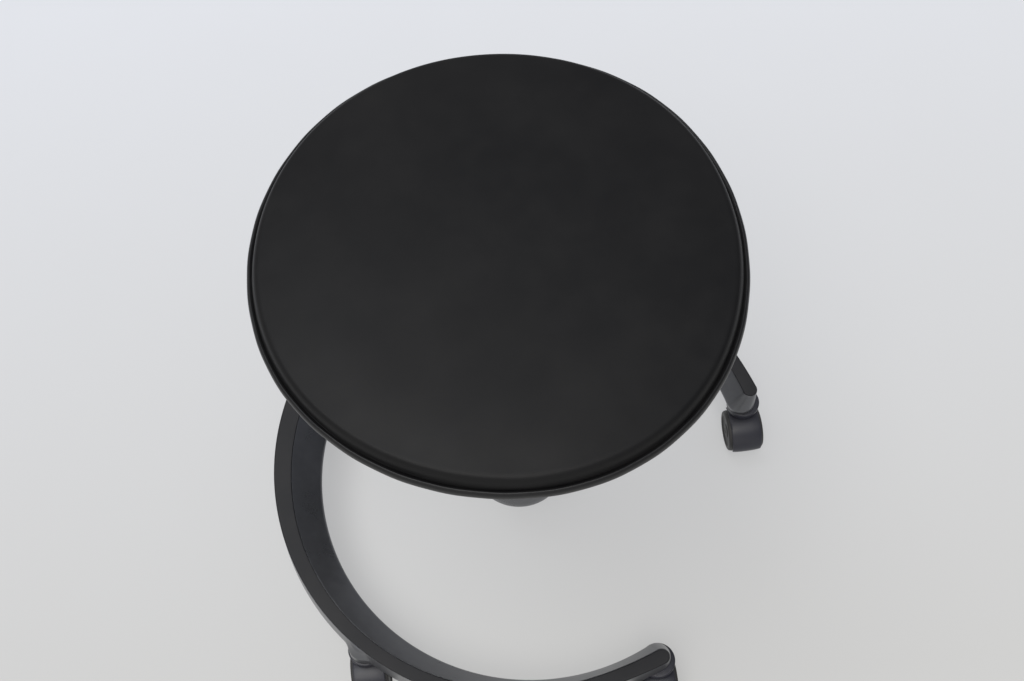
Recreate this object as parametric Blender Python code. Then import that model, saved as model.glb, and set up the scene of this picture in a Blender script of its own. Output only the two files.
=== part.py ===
import math

import bmesh
import bpy
import numpy as np
from mathutils import Matrix, Vector

# Ring base: a C-shaped casting, open to the front right, thick at the back.
OPENING_ANGLE = math.radians(-26.0)
RING_OUTER_RADIUS = 0.271
RING_WALL_FLARE = 0.0028
RING_WIDTH = 0.0364
RING_INNER_RADIUS = RING_OUTER_RADIUS - RING_WIDTH
RING_INNER_OFFSET = 0.0152
RING_INNER_TURN = math.radians(-10.7)
TIP_ANGLE = math.radians(144.0)
FLARE_START = math.radians(126.0)
TIP_FLARE = 0.0060
RING_END_ANGLE = math.radians(143.3)
RING_STEPS = 44
RING_TOP_Z = 0.0990
RING_EDGE_Z = 0.0740
RING_BOTTOM_Z = 0.0700
RING_CEILING_Z = 0.0920
RING_WALL = 0.0040
RING_EDGE_CHAMFER = 0.0007
TOP_WIDTH_BACK = 0.0210
TOP_WIDTH_SIDE = 0.0145
TOP_WIDTH_TIP = 0.0165

# Inlay strip on the ring, in a groove with a running gap.
STRIP_STEPS = 39
STRIP_LAND = 0.0010
STRIP_BOTTOM_Z = 0.0970
STRIP_TOP_Z = 0.0995
STRIP_CHAMFER = 0.0006
SEAT_GAP = 0.0003

# Castor bosses and stems.
CASTOR_COUNT = 5
TIP_CASTORS = (0, 1)
CASTOR_INSET = 0.0060
CASTOR_CIRCLE = RING_OUTER_RADIUS - CASTOR_INSET
BOSS_FOOT_RADIUS = 0.0166
BOSS_WAIST_RADIUS = 0.0152
BOSS_TOP_RADIUS = 0.0085
BOSS_FOOT_Z = 0.0660
BOSS_WAIST_Z = 0.0810
BOSS_TOP_Z = 0.0940
BOSS_BULGE = 0.0010
TIP_BOSS_TOP_Z = 0.0984
TIP_BOSS_LIP = 0.0004
TIP_BOSS_RINGS = (0.0, 0.5, 0.8, 1.0)
BOSS_SIDES = 16
HOLE_SIDES = 10
BOSS_PHASE = math.radians(5.0)
STEM_RADIUS = 0.0050
STEM_FOOT_Z = 0.0360
STEM_TOP_Z = 0.0860

# Castors with two wheels under a hood.
TRAIL_ANGLES = (-88.0, -90.0, -88.0, -93.0, -88.0)
CASTOR_TRAIL = 0.0175
WHEEL_RADIUS = 0.0240
WHEEL_SIDES = 20
WHEEL_INNER_Y = 0.0082
WHEEL_OUTER_Y = 0.0200
WHEEL_BEVEL = 0.0020
WHEEL_DISH = 0.0017
AXLE_RADIUS = 0.0025
AXLE_HALF = 0.0181
HOOD_OUTER_RADIUS = 0.0282
HOOD_INNER_RADIUS = 0.0256
HOOD_HALF_WIDTH = 0.0168
HOOD_START = math.radians(-5.0)
HOOD_END = math.radians(150.0)
HOOD_STEPS = 10
WEB_HALF_WIDTH = 0.0075
WEB_NECK_TOP_Z = 0.0560
WEB_END = math.radians(100.0)
WEB_STEPS = 6
STEM_FLOOR = 0.0030
COLLAR_RADIUS = 0.0182
COLLAR_EDGE = 0.0030
COLLAR_FOOT_Z = 0.0515
COLLAR_TOP_Z = 0.0655

# Hub, spoke and the tilt joint.
HUB_FOOT_RADIUS = 0.0525
HUB_TOP_RADIUS = 0.0460
HUB_BOTTOM_Z = 0.0620
HUB_TOP_Z = 0.1220
HUB_EDGE = 0.0030
PIVOT_Z = 0.1000
BALL_RADIUS = 0.0240
BALL_FOOT_DZ = -0.0190
LINER_INNER_RADIUS = 0.0244
LINER_OUTER_RADIUS = 0.0330
LINER_TOP_DZ = 0.0040
LINER_FOOT_DZ = -0.0200
BOWL_RADIUS = 0.0335
BOWL_DRAIN_RADIUS = 0.0080
RING_SEAT_Z = 0.1100
RING_SEAT_RADIUS = 0.0420
RETAINER_FOOT_DZ = 0.0105
RETAINER_GRIP_DZ = 0.0184
RETAINER_MOUTH_RADIUS = 0.0195
NECK_RADIUS = 0.0100
FLANGE_RADIUS = 0.0300
FLANGE_RISE = 0.0320
FLANGE_Z = PIVOT_Z + FLANGE_RISE
FLANGE_HEIGHT = 0.0080
FLANGE_TOP_Z = FLANGE_Z + FLANGE_HEIGHT
SPIGOT_RADIUS = 0.0212
SPIGOT_HEIGHT = 0.0060
SPIGOT_TOP_Z = FLANGE_TOP_Z + SPIGOT_HEIGHT
SPOKE_INSET = 0.0015
SPOKE_END_RADIUS = RING_OUTER_RADIUS - SPOKE_INSET
SPOKE_START_RADIUS = 0.0300
SPOKE_HALF_FOOT = 0.0210
SPOKE_HALF_TOP = 0.0130
SPOKE_WALL = 0.0040
SPOKE_FOOT_Z = 0.0690
SPOKE_SHOULDER_Z = 0.0860
SPOKE_TOP_Z = 0.0955

# Spring strut.
TUBE_INNER_RADIUS = 0.0215
TUBE_OUTER_RADIUS = 0.0260
TUBE_LENGTH = 0.1500
TUBE_TOP_Z = FLANGE_TOP_Z + TUBE_LENGTH
SLEEVE_INNER_RADIUS = 0.0203
SLEEVE_LENGTH = 0.0677
SLEEVE_FOOT_Z = TUBE_TOP_Z - SLEEVE_LENGTH
SLEEVE_FLANGE = 0.0027
COLLAR_BORE = 0.0263
TENSION_RADIUS = 0.0505
TENSION_FLUTE = 0.0015
TENSION_FLUTES = 12
TENSION_LIFT = 0.0100
TENSION_FOOT_Z = FLANGE_TOP_Z + TENSION_LIFT
TENSION_HEIGHT = 0.0160
TENSION_TOP_Z = TENSION_FOOT_Z + TENSION_HEIGHT
CUP_RADIUS = 0.0490
CUP_RIM = 0.0015
CUP_PLATE = 0.0020
CUP_RIM_HEIGHT = 0.0075
LOWER_CUP_HUB_RADIUS = 0.0300
UPPER_CUP_HUB_RADIUS = 0.0265
CUP_HUB_HEIGHT = 0.0070
CIRCLIP_RADIUS = 0.0240
CIRCLIP_HEIGHT = 0.0027
SPRING_RADIUS = 0.0415
WIRE_RADIUS = 0.0045
SPRING_TURNS = 8.0
SPRING_DEAD_TURNS = 0.9
SPRING_DEAD_PITCH = 0.0096
SPRING_POINTS_PER_TURN = 10
WIRE_SIDES = 6

# Column and gas lift.
COLUMN_RADIUS = 0.0200
COLUMN_BORE = 0.0165
COLUMN_OVERLAP = 0.0850
COLUMN_FOOT_Z = TUBE_TOP_Z - COLUMN_OVERLAP
COLUMN_FLOOR = 0.0080
COLUMN_FLOOR_Z = COLUMN_FOOT_Z + COLUMN_FLOOR
COLUMN_LENGTH = 0.1750
COLUMN_TOP_Z = COLUMN_FOOT_Z + COLUMN_LENGTH
COLUMN_RING_LIFT = 0.0020
COLUMN_RING_FOOT_Z = COLUMN_FOOT_Z + COLUMN_RING_LIFT
UPPER_CUP_DROP = 0.0350
UPPER_CUP_Z = COLUMN_TOP_Z - UPPER_CUP_DROP
UPPER_CUP_HUB_TOP_Z = UPPER_CUP_Z + CUP_HUB_HEIGHT
BUSH_BORE = 0.0143
BUSH_LENGTH = 0.0200
BUSH_FOOT_Z = COLUMN_TOP_Z - BUSH_LENGTH
BUSH_FLANGE = 0.0027
BEARING_INNER_RADIUS = 0.0060
BEARING_OUTER_RADIUS = 0.0150
BEARING_HEIGHT = 0.0070
ROD_RADIUS = 0.0050
ROD_HOLE = 0.0053
ROD_END = 0.0060
ROD_FOOT_Z = COLUMN_FOOT_Z - ROD_END
ROD_SHOULDER_RADIUS = 0.0090
ROD_SHOULDER_HEIGHT = 0.0030
PISTON_RADIUS = 0.0110
ROD_LENGTH = 0.1750
PISTON_FOOT_Z = ROD_FOOT_Z + ROD_LENGTH
PISTON_HEIGHT = 0.0120
PISTON_TOP_Z = PISTON_FOOT_Z + PISTON_HEIGHT
CLIP_RADIUS = 0.0085
CLIP_HEIGHT = 0.0027
CYLINDER_RADIUS = 0.0140
CYLINDER_BORE = 0.0115
CYLINDER_OVERLAP = 0.0700
CYLINDER_FOOT_Z = COLUMN_TOP_Z - CYLINDER_OVERLAP
CYLINDER_STRAIGHT = 0.1550
TAPER_FOOT_Z = CYLINDER_FOOT_Z + CYLINDER_STRAIGHT
CYLINDER_BORE_PAST = 0.0100
CYLINDER_BORE_TOP_Z = TAPER_FOOT_Z + CYLINDER_BORE_PAST
TAPER_TOP_RADIUS = 0.0132
TAPER_LENGTH = 0.0430
CYLINDER_TOP_Z = TAPER_FOOT_Z + TAPER_LENGTH
GLAND_HEIGHT = 0.0150
GLAND_TOP_Z = CYLINDER_FOOT_Z + GLAND_HEIGHT
BUTTON_RADIUS = 0.0040
BUTTON_DEPTH = 0.0180
BUTTON_FOOT_Z = CYLINDER_TOP_Z - BUTTON_DEPTH
BUTTON_STAND = 0.0062
BUTTON_TOP_Z = CYLINDER_TOP_Z + BUTTON_STAND

# Seat bracket, lever and screws.
SOCKET_RADIUS = 0.0220
BRACKET_DROP = 0.0080
BRACKET_FLOOR_Z = CYLINDER_TOP_Z - BRACKET_DROP
BRACKET_HEIGHT = 0.0290
BRACKET_TOP_Z = BRACKET_FLOOR_Z + BRACKET_HEIGHT
BRACKET_SHEET = 0.0030
BRACKET_HALF_LENGTH = 0.0720
BRACKET_HALF_FLOOR = 0.0335
BRACKET_DRAFT = 0.0050
BRACKET_HALF_WIDTH = 0.0750
LEVER_PIVOT_X = 0.0250
LEVER_LIFT = 0.0165
LEVER_PIVOT_Z = BRACKET_FLOOR_Z + LEVER_LIFT
LEVER_HALF_WIDTH = 0.0060
LEVER_HALF_BAR = 0.0020
LEVER_BOSS = 0.0043
LEVER_TIP_X = -0.0080
LEVER_BEND_X = 0.0790
LEVER_DROP_X = 0.1000
LEVER_DROP = 0.0135
LEVER_END_X = 0.1600
PIN_RADIUS = 0.0025
PIN_HALF = 0.0375
PIN_HOLE = 0.0028
GRIP_START_X = 0.1220
GRIP_END_X = 0.1780
GRIP_HALF_WIDTH = 0.0180
GRIP_HALF_HEIGHT = 0.0055
GRIP_EDGE = 0.0025
SCREW_X = 0.0550
SCREW_Y = 0.0570
SCREW_RADIUS = 0.0025
SCREW_HEAD_RADIUS = 0.0048
SCREW_HEAD_HEIGHT = 0.0032
SCREW_BITE = 0.0060
SCREW_TOP_Z = BRACKET_TOP_Z + SCREW_BITE

# Seat shell and padding.
SEAT_RADIUS = 0.2000
SHELL_INSET = 0.0200
SHELL_RADIUS = SEAT_RADIUS - SHELL_INSET
SHELL_FLAT_RADIUS = 0.0500
SHELL_FLAT_Z = BRACKET_TOP_Z + SEAT_GAP
SHELL_RISE = 0.0187
SHELL_WALL = 0.0040
SHELL_BOSS_RADIUS = 0.0070
SHELL_RIBS = 8
RIB_START = 0.0900
RIB_INSET = 0.0080
RIB_END = SHELL_RADIUS - RIB_INSET
RIB_HALF = 0.0015
RIB_DEPTH_INNER = 0.0050
RIB_DEPTH_OUTER = 0.0032
SEAT_STEPS = 44
SHELL_RIM_Z = SHELL_FLAT_Z + SHELL_RISE + SHELL_WALL
SEAM_LIFT = 0.0085
SEAM_Z = SHELL_RIM_Z + SEAM_LIFT
CROWN_RISE = 0.0225
CROWN_Z = SEAM_Z + CROWN_RISE
SEAM_INSET = 0.0050
SEAM_RADIUS = SEAT_RADIUS - SEAM_INSET
CORE_LEDGE = 0.0042
CUSHION_CORE_RADIUS = SHELL_RADIUS + CORE_LEDGE
CUSHION_EDGE = 0.0015
BORDER_EDGE = 0.0012
BORDER_HEIGHT = 0.0125
BORDER_FOOT_Z = SEAM_Z - BORDER_HEIGHT
BORDER_BELLY_Z = SEAM_Z - 0.4 * BORDER_HEIGHT
# Upholstery sway of the outline: waves per turn, push outward, angle of the first crest.
SEAT_DRAW = 0.0012
SEAT_SWAY = ((1, 0.0027, -80.0), (2, 0.0024, -37.0), (3, 0.0013, -60.0), (4, 0.0010, 35.5))

WELD = 0.000005
CUT_REACH = 0.0100
FLAT_ANGLE = math.radians(0.02)
SHARP_ANGLE = math.radians(38.0)
ROUND_SIDES = 20
BALL_SIDES = 30
ARC_STEP = math.radians(11.5)
SMALL_SIDES = 10

MATERIALS = {
    "paint": ((0.035, 0.036, 0.040), 0.42, 0.0),
    "strip": ((0.020, 0.020, 0.022), 0.65, 0.0),
    "rubber": ((0.015, 0.015, 0.015), 0.80, 0.0),
    "steel": ((0.55, 0.56, 0.58), 0.30, 1.0),
    "zinc": ((0.42, 0.43, 0.45), 0.42, 1.0),
    "black_steel": ((0.020, 0.020, 0.022), 0.38, 0.3),
    "nylon": ((0.022, 0.022, 0.024), 0.45, 0.0),
    "acetal": ((0.75, 0.74, 0.70), 0.40, 0.0),
    "bronze": ((0.50, 0.36, 0.18), 0.42, 1.0),
    "leather": ((0.016, 0.016, 0.018), 0.48, 0.0),
    "pan": ((0.030, 0.030, 0.032), 0.60, 0.0),
}


def clear_scene():
    for obj in list(bpy.data.objects):
        bpy.data.objects.remove(obj, do_unlink=True)


def material(kind):
    found = bpy.data.materials.get(kind)
    if found:
        return found
    colour, roughness, metallic = MATERIALS[kind]
    made = bpy.data.materials.new(kind)
    made.use_nodes = True
    shader = made.node_tree.nodes["Principled BSDF"]
    shader.inputs["Base Color"].default_value = (*colour, 1.0)
    shader.inputs["Roughness"].default_value = roughness
    shader.inputs["Metallic"].default_value = metallic
    made.diffuse_color = (*colour, 1.0)
    return made


def add_object(name, verts, faces, origin=(0.0, 0.0, 0.0)):
    shift = np.asarray(origin)
    points = (np.asarray(verts, dtype=float) - shift).tolist()
    mesh = bpy.data.meshes.new(name)
    mesh.from_pydata(points, [], faces)
    grid = bmesh.new()
    grid.from_mesh(mesh)
    bent = [f for f in grid.faces if len(f.verts) == 4]
    bmesh.ops.triangulate(grid, faces=bent)
    bmesh.ops.recalc_face_normals(grid, faces=grid.faces)
    grid.to_mesh(mesh)
    grid.free()
    obj = bpy.data.objects.new(name, mesh)
    obj.location = origin
    bpy.context.scene.collection.objects.link(obj)
    return obj


def finish(obj, kind):
    obj.data.materials.clear()
    obj.data.materials.append(material(kind))
    obj.data.shade_smooth()
    obj.data.set_sharp_from_angle(angle=SHARP_ANGLE)
    return obj


def combine(target, others, operation):
    # The tool bodies are joined to or cut from the target in one step and then taken away.
    group = bpy.data.collections.new("tools")
    bpy.context.scene.collection.children.link(group)
    for other in others:
        group.objects.link(other)
    step = target.modifiers.new("step", "BOOLEAN")
    step.operation = operation
    step.solver = "EXACT"
    step.operand_type = "COLLECTION"
    step.collection = group
    bpy.context.view_layer.update()
    graph = bpy.context.evaluated_depsgraph_get()
    result = bpy.data.meshes.new_from_object(target.evaluated_get(graph))
    target.modifiers.clear()
    grid = bmesh.new()
    grid.from_mesh(result)
    bmesh.ops.remove_doubles(grid, verts=grid.verts, dist=WELD)
    bmesh.ops.dissolve_degenerate(grid, edges=grid.edges, dist=WELD)
    grid.to_mesh(result)
    grid.free()
    spent = target.data
    target.data = result
    bpy.data.meshes.remove(spent)
    for other in others:
        bpy.data.objects.remove(other, do_unlink=True)
    bpy.data.collections.remove(group)
    return target


def flatten(obj):
    # Faces that lie in one plane become one face.
    grid = bmesh.new()
    grid.from_mesh(obj.data)
    bmesh.ops.dissolve_limit(grid, angle_limit=FLAT_ANGLE, verts=grid.verts, edges=grid.edges)
    grid.to_mesh(obj.data)
    grid.free()
    return obj


def revolve(profile, sides, across=False, phase=0.0):
    # A closed profile of (radius, height) turned about Z, or about Y where across is set.
    verts = []
    rings = []
    for radius, height in profile:
        if radius < 1e-9:
            rings.append([len(verts)] * sides)
            verts.append((0.0, 0.0, height))
            continue
        rings.append(list(range(len(verts), len(verts) + sides)))
        for k in range(sides):
            turn = phase + 2.0 * math.pi * k / sides
            verts.append((radius * math.cos(turn), radius * math.sin(turn), height))
    if across:
        verts = [(x, h, y) for x, y, h in verts]
    faces = []
    for i, low in enumerate(rings):
        high = rings[(i + 1) % len(rings)]
        for k in range(sides):
            n = (k + 1) % sides
            corners = [low[k], low[n], high[n], high[k]]
            face = list(dict.fromkeys(corners))
            if len(face) > 2:
                faces.append(face)
    return verts, faces


def turned(name, profile, kind, sides=ROUND_SIDES, origin=(0.0, 0.0, 0.0)):
    verts, faces = revolve(profile, sides)
    return finish(add_object(name, verts, faces, origin), kind)


def tube_profile(inner, outer, foot, top):
    return [(inner, foot), (outer, foot), (outer, top), (inner, top)]


def loft(sections):
    # Closed loops of equal length joined in order, with both ends capped.
    size = len(sections[0])
    verts = [p for loop in sections for p in loop]
    faces = []
    for s in range(len(sections) - 1):
        for k in range(size):
            n = (k + 1) % size
            faces.append([s * size + k, s * size + n, (s + 1) * size + n, (s + 1) * size + k])
    faces.append(list(range(size)))
    faces.append(list(range((len(sections) - 1) * size, len(sections) * size)))
    return verts, faces


def prism(outline, low, high, place):
    # A flat outline pushed from low to high; place turns (u, v, push) into a point.
    return loft([[place(u, v, low) for u, v in outline], [place(u, v, high) for u, v in outline]])


def arc(radius, start, end, steps, cx=0.0, cy=0.0):
    turns = np.linspace(start, end, steps + 1)
    return [(cx + radius * math.cos(t), cy + radius * math.sin(t)) for t in turns]


BACK_ANGLE = OPENING_ANGLE + math.pi


def ring_inner(turn):
    # Distance from the axis to the off-centre inner circle, turn counted from the back.
    away = turn - RING_INNER_TURN
    reach = RING_INNER_OFFSET * math.sin(away)
    return math.sqrt(RING_INNER_RADIUS**2 - reach**2) - RING_INNER_OFFSET * math.cos(away)


def tip_share(turn):
    # Grows from 0 where the flare of the ring's ends starts to 1 at the tips.
    return (max(0.0, abs(turn) - FLARE_START) / (TIP_ANGLE - FLARE_START)) ** 2


def ring_outer(turn):
    return RING_OUTER_RADIUS + TIP_FLARE * tip_share(turn)


def top_width(turn):
    swell = math.cos(min(abs(turn), math.pi / 2.0)) ** 2
    width = TOP_WIDTH_SIDE + (TOP_WIDTH_BACK - TOP_WIDTH_SIDE) * swell
    return width + (TOP_WIDTH_TIP - TOP_WIDTH_SIDE) * tip_share(turn)


def around(radius, turn, z):
    angle = BACK_ANGLE + turn
    return (radius * math.cos(angle), radius * math.sin(angle), z)


def ring_section(turn):
    inner = ring_inner(turn)
    outer = ring_outer(turn)
    ridge = outer - top_width(turn)
    run = ridge - inner
    rise = RING_TOP_Z - RING_EDGE_Z
    slope = math.hypot(run, rise)
    hollow_r = inner + RING_WALL * rise / slope
    hollow_z = RING_EDGE_Z - RING_WALL * run / slope
    ceiling_r = hollow_r + (RING_CEILING_Z - hollow_z) * run / rise
    foot_r = hollow_r + max(0.0, RING_BOTTOM_Z - hollow_z) * run / rise
    loop = [
        (inner, RING_BOTTOM_Z),
        (inner, RING_EDGE_Z),
        (ridge, RING_TOP_Z),
        (outer - RING_EDGE_CHAMFER, RING_TOP_Z),
        (outer, RING_TOP_Z - RING_EDGE_CHAMFER),
        (outer + RING_WALL_FLARE, RING_BOTTOM_Z),
        (outer + RING_WALL_FLARE - RING_WALL, RING_BOTTOM_Z),
        (outer - RING_WALL, RING_CEILING_Z),
        (ceiling_r, RING_CEILING_Z),
        (foot_r, RING_BOTTOM_Z),
    ]
    return [around(r, turn, z) for r, z in loop]


def strip_sections(spread, foot, top, chamfer):
    # The strip follows the top of the ring and closes with a round end at each tip.
    body = np.linspace(-TIP_ANGLE, TIP_ANGLE, STRIP_STEPS + 1)
    lean = np.radians([15.0, 40.0, 65.0])
    half_end = 0.5 * TOP_WIDTH_TIP - STRIP_LAND + spread
    middle_end = ring_outer(TIP_ANGLE) - 0.5 * TOP_WIDTH_TIP
    stations = []
    for t in lean:
        stations.append((-TIP_ANGLE, -half_end * math.cos(t) / middle_end, math.sin(t)))
    stations += [(t, 0.0, 1.0) for t in body]
    for t in lean[::-1]:
        stations.append((TIP_ANGLE, half_end * math.cos(t) / middle_end, math.sin(t)))
    sections = []
    for turn, past, share in stations:
        width = top_width(turn)
        middle = ring_outer(turn) - 0.5 * width
        half = (0.5 * width - STRIP_LAND + spread) * share
        inset = min(chamfer, 0.5 * half)
        side = top - chamfer
        loop = [(middle - half, foot), (middle - half, side)]
        if chamfer:
            loop += [(middle - half + inset, top), (middle + half - inset, top)]
        loop += [(middle + half, side), (middle + half, foot)]
        sections.append([around(r, turn + past, z) for r, z in loop])
    return sections


def castor_angle(index):
    return OPENING_ANGLE + math.pi - TIP_ANGLE - index * 2.0 * math.pi / CASTOR_COUNT


def castor_spot(index):
    angle = castor_angle(index)
    return CASTOR_CIRCLE * math.cos(angle), CASTOR_CIRCLE * math.sin(angle)


def tip_boss(index):
    # A leaning cone from the round end of the ring's top down to the castor's axis.
    angle = castor_angle(index)
    lean = ring_outer(TIP_ANGLE) - 0.5 * TOP_WIDTH_TIP - CASTOR_CIRCLE
    top_radius = 0.5 * TOP_WIDTH_TIP + TIP_BOSS_LIP
    rings = []
    for share in TIP_BOSS_RINGS:
        radius = BOSS_FOOT_RADIUS + share * (top_radius - BOSS_FOOT_RADIUS)
        radius += BOSS_BULGE * math.sin(math.pi * share)
        reach = CASTOR_CIRCLE + share * lean
        z = BOSS_FOOT_Z + share * (TIP_BOSS_TOP_Z - BOSS_FOOT_Z)
        x, y = reach * math.cos(angle), reach * math.sin(angle)
        phase = angle + BOSS_PHASE
        loop = arc(radius, phase, phase + 2.0 * math.pi, BOSS_SIDES, x, y)[:-1]
        rings.append([(u, v, z) for u, v in loop])
    return loft(rings)


def build_base():
    turns = np.linspace(-RING_END_ANGLE, RING_END_ANGLE, RING_STEPS + 1)
    casting = add_object("base_casting", *loft([ring_section(t) for t in turns]))
    hub = [
        (0.0, HUB_BOTTOM_Z),
        (HUB_FOOT_RADIUS - HUB_EDGE, HUB_BOTTOM_Z),
        (HUB_FOOT_RADIUS, HUB_BOTTOM_Z + HUB_EDGE),
        (HUB_FOOT_RADIUS, RING_EDGE_Z),
        (HUB_TOP_RADIUS, HUB_TOP_Z - 0.5 * HUB_EDGE),
        (HUB_TOP_RADIUS - 0.5 * HUB_EDGE, HUB_TOP_Z),
        (0.0, HUB_TOP_Z),
    ]
    spoke = []
    for reach in (SPOKE_START_RADIUS, SPOKE_END_RADIUS):
        loop = [
            (-SPOKE_HALF_FOOT, SPOKE_FOOT_Z),
            (-SPOKE_HALF_FOOT + 0.1 * SPOKE_WALL, SPOKE_SHOULDER_Z),
            (-SPOKE_HALF_TOP, SPOKE_TOP_Z),
            (SPOKE_HALF_TOP, SPOKE_TOP_Z),
            (SPOKE_HALF_FOOT - 0.1 * SPOKE_WALL, SPOKE_SHOULDER_Z),
            (SPOKE_HALF_FOOT, SPOKE_FOOT_Z),
            (SPOKE_HALF_FOOT - SPOKE_WALL, SPOKE_FOOT_Z),
            (SPOKE_HALF_TOP - 0.5 * SPOKE_WALL, SPOKE_TOP_Z - SPOKE_WALL),
            (-SPOKE_HALF_TOP + 0.5 * SPOKE_WALL, SPOKE_TOP_Z - SPOKE_WALL),
            (-SPOKE_HALF_FOOT + SPOKE_WALL, SPOKE_FOOT_Z),
        ]
        cos_b, sin_b = math.cos(BACK_ANGLE), math.sin(BACK_ANGLE)
        spoke.append([(reach * cos_b - v * sin_b, reach * sin_b + v * cos_b, z) for v, z in loop])
    bodies = [add_object("spoke_tool", *loft(spoke))]
    bodies.append(add_object("hub_tool", *revolve(hub, BALL_SIDES)))
    boss = [
        (0.0, BOSS_FOOT_Z),
        (BOSS_FOOT_RADIUS, BOSS_FOOT_Z),
        (BOSS_WAIST_RADIUS, BOSS_WAIST_Z),
        (BOSS_TOP_RADIUS, BOSS_TOP_Z),
        (0.0, BOSS_TOP_Z),
    ]
    hole = [
        (0.0, BOSS_FOOT_Z - CUT_REACH),
        (STEM_RADIUS + SEAT_GAP, BOSS_FOOT_Z - CUT_REACH),
        (STEM_RADIUS + SEAT_GAP, STEM_TOP_Z + SEAT_GAP),
        (0.0, STEM_TOP_Z + SEAT_GAP),
    ]
    holes = []
    for index in range(CASTOR_COUNT):
        x, y = castor_spot(index)
        phase = castor_angle(index) + BOSS_PHASE
        verts, faces = revolve(hole, HOLE_SIDES, phase=phase)
        holes.append(add_object("hole_tool", [(u + x, v + y, w) for u, v, w in verts], faces))
        if index in TIP_CASTORS:
            bodies.append(add_object("boss_tool", *tip_boss(index)))
            continue
        verts, faces = revolve(boss, BOSS_SIDES, phase=phase)
        bodies.append(add_object("boss_tool", [(u + x, v + y, w) for u, v, w in verts], faces))
    combine(casting, bodies, "UNION")
    drain_dz = math.sqrt(BOWL_RADIUS**2 - BOWL_DRAIN_RADIUS**2)
    bowl = [(0.0, HUB_BOTTOM_Z - CUT_REACH), (BOWL_DRAIN_RADIUS, HUB_BOTTOM_Z - CUT_REACH)]
    start = -math.atan2(drain_dz, BOWL_DRAIN_RADIUS)
    steps = math.ceil(-start / ARC_STEP)
    bowl += arc(BOWL_RADIUS, start, 0.0, steps, 0.0, PIVOT_Z)
    bowl += [
        (BOWL_RADIUS, RING_SEAT_Z),
        (RING_SEAT_RADIUS, RING_SEAT_Z),
        (RING_SEAT_RADIUS, HUB_TOP_Z + CUT_REACH),
        (0.0, HUB_TOP_Z + CUT_REACH),
    ]
    tools = [add_object("bowl_tool", *revolve(bowl, BALL_SIDES))]
    groove = strip_sections(SEAT_GAP, STRIP_BOTTOM_Z - SEAT_GAP, RING_TOP_Z + CUT_REACH, 0.0)
    tools.append(add_object("groove_tool", *loft(groove)))
    combine(casting, tools + holes, "DIFFERENCE")
    finish(flatten(casting), "paint")
    strip = loft(strip_sections(0.0, STRIP_BOTTOM_Z, STRIP_TOP_Z, STRIP_CHAMFER))
    finish(add_object("tread_strip", *strip), "strip")


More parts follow.
